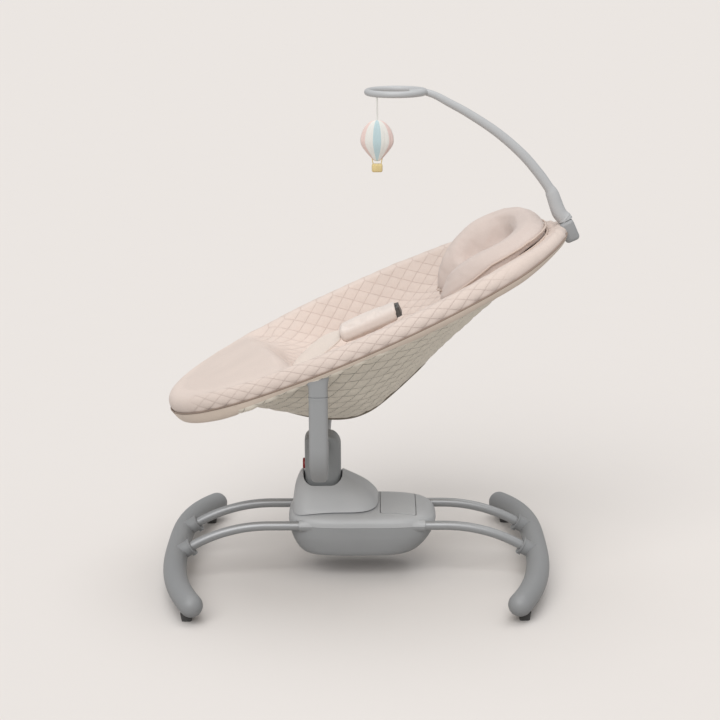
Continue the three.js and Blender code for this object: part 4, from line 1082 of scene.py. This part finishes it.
def makePiping():
    radius, offset = 0.0013, 0.0018

    def place(u, v):
        angle = ringAngle(u)
        _, _, outX, outY = ringFrame(angle)
        a = math.tau * v
        out = radius * math.cos(a)
        middle = rimPoint(angle, pipingTurn, ringSettings["rim"] + offset)
        return middle + Vector((out * outX, out * outY, radius * math.sin(a)))
    bm = laidForm(ringColumns, 8, place, measure=lambda u, v: (1.7 * u, 0.01 * v))
    # the piping cord is painted dark, as painted shade under the rim's edge
    seatPiece("rimPiping", bm, "rimCordPaintedShade", "lining")


makeLining()
makePouch()
for rowName, row in rows:
    makePouchSeam(rowName, row)
makePiping()
print("seat cloth made")

stuffingSettings = {
    "quality": 6, "mass": 0.12, "tension_stiffness": 12, "compression_stiffness": 12, "shear_stiffness": 6,
    "bending_stiffness": 0.35, "use_pressure": True, "uniform_pressure_force": 4.0,
}
stuffingFrames = 20


# blown up a little as cloth; a point stays where held(place) is true, and none moves past the limit
def blowUp(piece, limit, held, grow):
    mesh = piece.data
    before = [v.co.copy() for v in mesh.vertices]
    cloth = piece.modifiers.new("cloth", "CLOTH")
    for key, value in stuffingSettings.items():
        setattr(cloth.settings, key, value)
    cloth.settings.shrink_min = -grow
    cloth.settings.effector_weights.gravity = 0
    cloth.point_cache.frame_start = 1
    cloth.point_cache.frame_end = stuffingFrames
    group = piece.vertex_groups.new(name="held")
    group.add([i for i, place in enumerate(before) if held(place)], 1.0, "REPLACE")
    cloth.settings.vertex_group_mass = "held"
    for step in range(1, stuffingFrames + 1):
        bpy.context.scene.frame_set(step)
        moved = piece.evaluated_get(bpy.context.evaluated_depsgraph_get()).data
    after = [v.co.copy() for v in moved.vertices]
    piece.modifiers.clear()
    piece.vertex_groups.clear()
    for vert, start, end in zip(mesh.vertices, before, after):
        change = end - start
        if change.length > limit:
            change *= limit / change.length
        vert.co = start + change
    bpy.context.scene.frame_set(1)


# evened out, blown up and smoothed, then laid in the seat
def stuffInSeat(piece, s, held, node):
    remesh = piece.modifiers.new("even", "REMESH")
    remesh.mode = "VOXEL"
    remesh.voxel_size = s["voxel"]
    remesh.use_smooth_shade = True
    applyModifiers(piece, 180)
    blowUp(piece, s["limit"], held, s["grow"])
    smoother = piece.modifiers.new("finer", "SUBSURF")
    smoother.levels = smoother.render_levels = 1
    applyModifiers(piece, 180)
    flatUv(piece)
    piece.data.transform(seatPlace)
    settle(piece, "swing", "lining", node)


# lays the cloth pattern on from above
def flatUv(piece):
    mesh = piece.data
    layer = mesh.uv_layers.new(name="cloth")
    for loop in mesh.loops:
        p = mesh.vertices[loop.vertex_index].co
        layer.data[loop.index].uv = (p.x, p.y + 0.7 * p.z)


# a horseshoe roll: the mouth at the foot is notched, and its far side stands a little higher
pillowSettings = {
    "centre": 0.649 * ringSettings["halfLength"], "halfLength": 0.309 * ringSettings["halfLength"],
    "halfWidth": 0.399 * ringSettings["halfWidth"], "power": 2.5, "notch": 0.064, "arms": 0.014,
    "edge": 0.012, "crest": 0.045, "hollow": -0.002, "roll": 0.018, "lowest": -0.040, "thinnest": 0.010,
    # how far the edge, the crest and the hollow fall to the foot, and the first two rise to the head
    "edgeFall": 0.032, "crestFall": 0.048, "hollowFall": 0.026, "edgeRise": 0.010, "crestRise": 0.004,
    "room": 0.008, "headRoom": 0.010,  # over the lining
    # share of the outline, and of the rise from the hollow to the crest
    "rows": [(1, 0), (0.97, 0.38), (0.90, 0.80), (0.78, 1), (0.62, 0.97), (0.53, 0.76), (0.45, 0.28),
             (0.39, 0.04), (0.02, 0)],
    "underShare": 0.36, "voxel": 0.0045, "limit": 0.006, "grow": 0.006, "piping": 0.0016,
}


def pillowUnder(x, y):
    toHead = smoothStep(0.58, 0.80, x / ringSettings["halfLength"])
    room = pillowSettings["room"] + pillowSettings["headRoom"] * toHead
    return max(liningHeight(x, y) + room, pillowSettings["lowest"])


def pillowOver(x, y, share):
    s = pillowSettings
    along, across = (x - s["centre"]) / s["halfLength"], y / s["halfWidth"]
    toFoot, toHead = clamp(-along), clamp(along)
    mouth = toFoot * clamp(1.5 - 3.2 * abs(across))
    crest = s["crest"] - s["crestFall"] * toFoot ** 1.7 + s["crestRise"] * toHead
    crest += s["roll"] * across * (1 - 0.6 * toFoot)
    edge = s["edge"] - s["edgeFall"] * toFoot + s["edgeRise"] * toHead
    hollow = s["hollow"] - s["hollowFall"] * toFoot + 0.5 * s["roll"] * across
    low = hollow + (edge - hollow) * smoothStep(0.85, 1.0, share)
    return max(low + (crest - low) * pillowRise(share) * (1 - mouth), pillowUnder(x, y) + s["thinnest"])


def pillowRise(share):
    table = pillowSettings["rows"]
    for (a, riseA), (b, riseB) in zip(table, table[1:]):
        if share >= b:
            return riseA + (riseB - riseA) * smoothStep(a, b, share)
    return 0


def pillowPoint(u, share, top):
    s = pillowSettings
    x, y = superPoint(math.tau * u, s["halfLength"] * share, s["halfWidth"] * share, s["power"])
    toFoot = clamp(-x / s["halfLength"])
    x += s["centre"]
    middle = math.exp(-(y / (0.36 * s["halfWidth"])) ** 2)
    back = x + toFoot ** 2 * (s["notch"] * middle - s["arms"])
    return Vector((back, y, pillowOver(x, y, share) if top else pillowUnder(x, y)))


def makePillow():
    s = pillowSettings
    split = s["underShare"]

    def place(u, v):
        if v < split:
            return pillowPoint(u, 0.02 + 0.94 * v / split, False)
        return pillowPoint(u, 1 - 0.98 * (v - split) / (1 - split), True)
    pillow = newPiece("headPillow", laidForm(96, 70, place, capped=True), "pillowCloth", 180)

    # the seams hold: round the edge, and along the foot of the roll
    def held(p):
        out = (abs((p.x - s["centre"]) / s["halfLength"]), abs(p.y / s["halfWidth"]))
        return sum(side ** s["power"] for side in out) ** (1 / s["power"]) > 0.955 or p.z < 0.004
    stuffInSeat(pillow, s, held, "head_pillow")


# one cord round the pillow's edge, and one below it on the side wall
def makePillowPiping(name, share, drop):
    radius = pillowSettings["piping"]

    def place(u, v):
        middle = pillowPoint(u, share, True)
        middle.z -= drop
        a = math.tau * v
        outward = Vector((middle.x - pillowSettings["centre"], middle.y, 0)).normalized()
        return middle + outward * radius * math.cos(a) + Vector((0, 0, radius * math.sin(a)))
    bm = laidForm(160, 8, place, measure=lambda u, v: (0.6 * u, 0.01 * v))
    seatPiece(name, bm, "pipingCloth", "lining")


padSettings = {
    "from": -0.052, "to": 0.046, "floor": 0.029, "width": 0.058, "thickness": 0.026, "wall": 0.0045,
    "height": -0.012, "power": 3.2, "slack": 0.0025, "voxel": 0.0024, "limit": 0.003, "grow": 0.03,
}


# a stuffed sleeve, open at its head end where the buckle sits in its mouth
def makeCrotchPad():
    s = padSettings
    halfY, halfZ, wall = s["width"] / 2, s["thickness"] / 2, s["wall"]
    # along the sleeve, then how far its outline is drawn in
    profile = [
        (s["from"], halfZ), (s["from"], 0.006), (s["from"] + 0.002, 0.002), (s["from"] + 0.007, 0.0), (-0.02, 0.0),
        (0.01, 0.0), (s["to"] - 0.005, 0.0), (s["to"] - 0.001, 0.001), (s["to"], 0.0022), (s["to"] - 0.001, 0.0036),
        (s["to"] - 0.004, wall), (s["floor"] + 0.002, wall), (s["floor"], wall + 0.001), (s["floor"], halfZ),
    ]

    def place(u, v):
        along, inset = straightTable(profile, v)
        y, z = superPoint(math.tau * u, halfY - inset, halfZ - inset, s["power"])
        slack = s["slack"] * smoothStep(0.0, s["to"], along)
        return Vector((along + slack * z / halfZ, y, s["height"] + z))
    pad = newPiece("crotchPad", laidForm(90, 104, place, 0.00005, True), "padCloth", 180)

    def held(p):
        return p.x > s["floor"] - 0.004 or p.x < s["from"] + 0.004 or abs(p.y) > halfY - 0.003
    stuffInSeat(pad, s, held, "crotch_pad")


# flat webbing through places in the seat, its width across the run; roll lifts its far edge
def makeWebbing(name, places, width, thickness, node, roll=0.0):
    bm = tubeForm(lambda t: Vector(alongTable(places, t)), lambda t: (width / 2, thickness / 2), 40, 80, 7)
    layer = bm.loops.layers.uv.verify()
    for face in bm.faces:
        for corner in face.loops:
            corner[layer].uv = corner.vert.co.xy
    start, end = places[0][0], places[-1][0]
    for vert in bm.verts:
        share = clamp((vert.co.x - start) / (end - start))
        vert.co.z += roll * vert.co.y * math.sin(math.pi * share) ** 0.6
    seatPiece(name, bm, "webCloth", "webbing", node, sharpDegrees=50)


crotchStrapSettings = {"foot": -0.146, "width": 0.050, "thickness": 0.004, "roll": 0.34}
# shares of the ring's half length and half width
shoulderSettings = {
    "route": [(0.354, 0.252), (0.24, 0.277), (0.12, 0.294), (0, 0.303)],
    "lift": 0.0095, "width": 0.024, "thickness": 0.0024,
}


def makeHarness():
    pad, s = padSettings, crotchStrapSettings
    foot = s["foot"]
    places = [
        (foot, 0, liningHeight(foot, 0) + 0.004), (foot + 0.018, 0, -0.028), (foot + 0.045, 0, -0.021),
        (foot + 0.070, 0, pad["height"] - 0.003), (pad["from"] - 0.0008, 0, pad["height"]),
    ]
    makeWebbing("crotchStrap", places, s["width"], s["thickness"], "crotch_strap", s["roll"])
    s = shoulderSettings
    for rowName, row in rows:
        places = []
        for along, across in s["route"]:
            x, y = along * ringSettings["halfLength"], row * across * ringSettings["halfWidth"]
            places.append((x, y, liningHeight(x, y) + s["lift"]))
        makeWebbing(f"{rowName}ShoulderStrap", places, s["width"], s["thickness"], f"shoulder_strap_{rowName}")


makePillow()
makePillowPiping("upperPillowPiping", 1.0, 0.0)
makePillowPiping("lowerPillowPiping", 0.985, 0.013)
makeCrotchPad()
makeHarness()
print("pillow and harness made")

stubSettings = {
    "rise": 0.024, "power": 4, "full": (0.0015, 0.002), "flareFrom": 0.012, "flare": 0.003, "saddle": 0.007,
}


# narrow in the fork; above the fork's lip it fills out and spreads into a saddle under the rim
def makeStub(rowName):
    s = stubSettings
    low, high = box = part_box(f"rim_stub_{rowName}")
    middle, half = boxMiddle(box), (high - low) / 2
    lip = forkBox[1].z + forkSettings["lip"]
    top = high.z - s["rise"]

    def place(u, v):
        height = low.z + (top - low.z) * v
        full = smoothStep(lip - 0.0002, lip + 0.0002, height)
        flare = smoothStep(lip + s["flareFrom"], top, height)
        halfX = half.x + s["full"][0] * full + s["flare"] * flare
        x, y = superPoint(math.tau * u, halfX, half.y + s["full"][1] * full, s["power"])
        spread = -s["saddle"] * flare if x < 0 else 0
        return Vector((middle.x + x + spread, middle.y + y, height))
    stub = newPiece(f"{rowName}RimStub", laidForm(56, 60, place, capped=True), "greyMoulding")
    settle(stub, "swing", "dark_plastic", f"rim_stub_{rowName}")


for rowName, row in rows:
    makeStub(rowName)

socketSettings = {"x": 0.3494, "top": 0.012, "size": (0.024, 0.034, 0.034), "corner": 0.006}
barSettings = {
    "loopLength": 0.100, "loopWidth": 0.104, "loopRadius": 0.0052, "thickness": 0.016, "width": 0.020,
    "plug": 0.016, "plugDepth": 0.023,
    # back and up from the root in metres, then shares of the bar's thickness and width
    "collar": [
        (0.0002, 0.0005, 1, 0.8), (0.0003, 0.0007, 1.53, 1.34), (0.0012, 0.0028, 1.53, 1.34),
        (0.0014, 0.0033, 1.42, 1.26),
    ],
    # share of the span back to the socket, share of the rise, then of the bar's thickness and width
    "arc": [
        (0.953, 0.066, 1.44, 1.25), (0.904, 0.206, 1.31, 1.15), (0.877, 0.26, 1, 1), (0.8, 0.376, 1, 0.95),
        (0.679, 0.526, 0.97, 0.9), (0.504, 0.690, 0.91, 0.85), (0.301, 0.836, 0.84, 0.8),
        (0.160, 0.921, 0.78, 0.75), (0.070, 0.974, 0.71, 0.70), (0, 1, 0.66, 0.74),
    ],
    # where the bar meets the loop: out from the loop's middle, thickness and width in metres
    "tongue": [(0.038, 0.0098, 0.020), (0.029, 0.0094, 0.034), (0.021, 0.0084, 0.044)],
}


# places along the bar as (x, z, thickness, width), from the plug in the socket to the loop
def barStations(loopMiddle):
    s, socket = barSettings, socketSettings
    root = seatPlace @ Vector((socket["x"] + 0.001, 0, socket["top"]))
    plug = seatPlace @ Vector((socket["x"] + 0.001, 0, socket["top"] - s["plugDepth"]))
    tip = loopMiddle + Vector((s["loopLength"] / 2 - s["loopRadius"] / 2, 0, -0.001))
    stations = [(plug.x, plug.z, s["plug"], s["plug"])]
    for back, up, thickness, width in s["collar"]:
        stations.append((root.x - back, root.z + up, thickness * s["thickness"], width * s["width"]))
    for back, up, thickness, width in s["arc"]:
        x, z = tip.x + (root.x - tip.x) * back, root.z + (tip.z - root.z) * up
        stations.append((x, z, thickness * s["thickness"], width * s["width"]))
    for out, thickness, width in s["tongue"]:
        stations.append((loopMiddle.x + out, loopMiddle.z, thickness, width))
    return stations


def makeToyBar():
    s = barSettings
    low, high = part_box("toy_bar")
    radius = s["loopRadius"]
    loopMiddle = Vector((low.x + s["loopLength"] / 2, 0, high.z - radius))
    stations = barStations(loopMiddle)

    def path(t):
        x, z = alongTable(stations, t)[:2]
        return Vector((x, 0, z))

    def halves(t):
        thickness, width = straightTable(stations, t)[2:]
        return width / 2, thickness / 2

    def place(u, v):
        around, turn = math.tau * u, math.tau * v
        reach = radius * (math.cos(turn) - 1)
        x = (s["loopLength"] / 2 + reach) * math.cos(around)
        y = (s["loopWidth"] / 2 + reach) * math.sin(around)
        return loopMiddle + Vector((x, y, radius * math.sin(turn)))
    bm = tubeForm(path, halves, 36, 130, 2.2)
    joinForm(bm, laidForm(120, 20, place))
    settle(newPiece("toyBar", bm, "barMoulding"), "toy_arm", "bar_plastic", "toy_bar")


def makeSocket():
    s = socketSettings
    bm = roundedBlock(s["size"], s["corner"], 5)
    shifted(bm, Matrix.Translation((s["x"], 0, s["top"] - s["size"][2] / 2)))
    seatPiece("barSocket", bm, "greyMoulding", "dark_plastic", "toy_bar_socket")


toySettings = {
    "thickness": 0.022, "skirt": 0.004, "gores": 12, "seam": 0.05, "slack": 0.0005,
    "basket": (0.017, 0.013, 0.013), "corner": 0.003,
    # half the gap between the two cords at each end, how far they run up the balloon, and their radius
    "cordFoot": 0.0062, "cordTop": 0.0085, "cordRise": 0.008, "cordRadius": 0.0008,
}


def makeBasket(middle, low, skirt):
    s = toySettings
    top = low + s["basket"][2]
    basket = roundedBlock(s["basket"], s["corner"], 3)
    shifted(basket, Matrix.Translation((middle.x, middle.y, low + s["basket"][2] / 2)))
    for side in (-1, 1):
        start = Vector((middle.x + side * s["cordFoot"], middle.y, top - 0.001))
        end = Vector((middle.x + side * s["cordTop"], middle.y, skirt + s["cordRise"]))
        made = bmesh.ops.create_cone(
            basket, cap_ends=True, segments=8, radius1=s["cordRadius"], radius2=s["cordRadius"],
            depth=(end - start).length,
        )
        shifted(basket, aimed(end - start, (start + end) / 2), made["verts"])
    for face in basket.faces:
        face.material_index = 4
    return basket


# full near the top, drawn in towards the basket, with a seam between each two gores
def makeToy():
    s = toySettings
    low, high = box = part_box("toy_balloon")
    middle = boxMiddle(box)
    halfX, halfY = (high.x - low.x) / 2 - s["slack"], s["thickness"] / 2
    skirt = low.z + s["basket"][2] + s["skirt"]
    height = high.z - skirt - 0.0006

    def place(u, v):
        rise = 0.5 - 0.5 * math.cos(math.pi * v)
        swell = math.sin(math.pi * min(rise, 1)) ** 0.42 * (0.52 + 0.48 * smoothStep(-0.1, 0.50, rise))
        a = math.tau * u
        swell *= 1 - s["seam"] * abs(math.cos(s["gores"] / 2 * a)) ** 14
        x, y = halfX * swell * math.cos(a), halfY * swell * math.sin(a)
        return Vector((middle.x + x, middle.y + y, skirt + height * rise))
    bm = laidForm(128, 60, place)
    for face in bm.faces:
        c = face.calc_center_median()
        turn = math.atan2((c.y - middle.y) / halfY, (c.x - middle.x) / halfX)
        face.material_index = int((turn / math.tau + 1 + 0.5 / s["gores"]) * s["gores"]) % s["gores"] % 4
    joinForm(bm, makeBasket(middle, low.z, skirt))
    toy = newPiece("plushBalloon", bm, "toyWhite", 60)
    for finish in ("toyBlue", "toyWhite", "toyPink", "basketCloth"):
        toy.data.materials.append(finishes[finish])
    flatUv(toy)
    settle(toy, "toy", "plush", "toy_balloon")
    return toy


# it runs on down the inside of the balloon, where it is sewn in
ribbonSettings = {"sewnIn": 0.035, "radius": 0.0015, "bow": 0.0004, "steps": 24}


def makeRibbon(toy):
    s = ribbonSettings
    low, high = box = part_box("toy_ribbon")
    top, bottom = high.z, low.z - s["sewnIn"]
    middle = boxMiddle(box)
    path = []
    for k in range(s["steps"] + 1):
        t = k / s["steps"]
        path.append(Vector((middle.x + s["bow"] * math.sin(math.pi * t), middle.y, top + (bottom - top) * t)))
    bm = tubeForm(lambda t: Vector(alongTable(path, t)), lambda t: (s["radius"], s["radius"]), 16, 40)
    ribbon = newPiece("toyRibbon", bm, "toyWhite")
    flatUv(ribbon)
    settle(ribbon, "toy", "webbing", "toy_ribbon")


makeToyBar()
makeSocket()
makeRibbon(makeToy())
print("toy bar and toy made")

# finishes on the CAD pieces that stay
corners = [f"{sideName}_{rowName}" for sideName, side in sides for rowName, row in rows]
nodeFinishes = {
    "padRubber": [f"foot_pad_{corner}" for corner in corners],
    "darkMoulding": [f"sleeve_latch_{corner}" for corner in corners]
    + ["battery_bay", "bearing_block_left", "bearing_block_right", "motor_gearbox"],
    "innerSteel": [f"housing_screw_{i}" for i in range(1, 5)] + ["drive_motor", "swing_axle", "seat_ring"],
    "bearingBrass": ["swing_bush_left", "swing_bush_right"],
    "gearNylon": ["sector_gear", "drive_pinion"],
    "cellSleeve": [f"battery_cell_{i}" for i in range(1, 5)],
    "boardLaminate": ["circuit_board"],
    "speakerBlack": ["speaker"],
    "buckleCharcoal": ["buckle", "buckle_button"],
}
for finish, names in nodeFinishes.items():
    for nodeName in names:
        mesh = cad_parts[nodeName].data
        mesh.materials.clear()
        mesh.materials.append(finishes[finish])
print("plain finishes set")

stageSettings = {
    "background": (233, 229, 225), "floor": (223, 218, 214), "floorBounce": (192, 189, 186), "size": 40, "room": 0.43,
}
# where each light comes from, its strength and its spread in degrees
lightSettings = {"keyLight": ((-0.25, -0.95, 0.95), 1.75, 50), "topLight": ((0.1, 0.2, 1.0), 1.0, 60)}


# the floor throws back a little less light than it seems to
def makeStage():
    s = stageSettings
    bm = bmesh.new()
    bmesh.ops.create_grid(bm, x_segments=1, y_segments=1, size=s["size"])
    material, tree, shader = startMaterial("paleFloor")
    inputs = {"Color": linear(*s["floor"]), "Tone": 0.004}
    grain = addNode(tree, "ShaderNodeGroup", inputs, node_tree=grainGroup)
    seen = addNode(tree, "ShaderNodeLightPath").outputs["Is Camera Ray"]
    inputs = {0: seen, 6: linear(*s["floorBounce"]), 7: grain.outputs["Color"]}
    color = addNode(tree, "ShaderNodeMix", inputs, data_type="RGBA").outputs[2]
    feed(tree, shader, {"Base Color": color, "Roughness": 1, "Specular IOR Level": 0})
    finishes["paleFloor"] = material
    newPiece("paleFloor", bm, "paleFloor")


def makeLights():
    world = bpy.data.worlds.new("softRoom")
    bpy.context.scene.world = world
    world.use_nodes = True
    tree = world.node_tree
    tree.nodes.clear()
    room = addNode(tree, "ShaderNodeBackground", {"Color": (1, 1, 1, 1), "Strength": stageSettings["room"]})
    shown = addNode(tree, "ShaderNodeBackground", {"Color": linear(*stageSettings["background"])})
    seen = addNode(tree, "ShaderNodeLightPath").outputs["Is Camera Ray"]
    mix = addNode(tree, "ShaderNodeMixShader", {0: seen, 1: room.outputs[0], 2: shown.outputs[0]})
    addNode(tree, "ShaderNodeOutputWorld", {0: mix.outputs[0]})
    for name, (direction, strength, spread) in lightSettings.items():
        lamp = bpy.data.lights.new(name, "SUN")
        lamp.energy = strength
        lamp.angle = math.radians(spread)
        holder = bpy.data.objects.new(name, lamp)
        holder.matrix_world = aimed(direction)
        bpy.context.collection.objects.link(holder)


makeStage()
makeLights()
print("stage made")
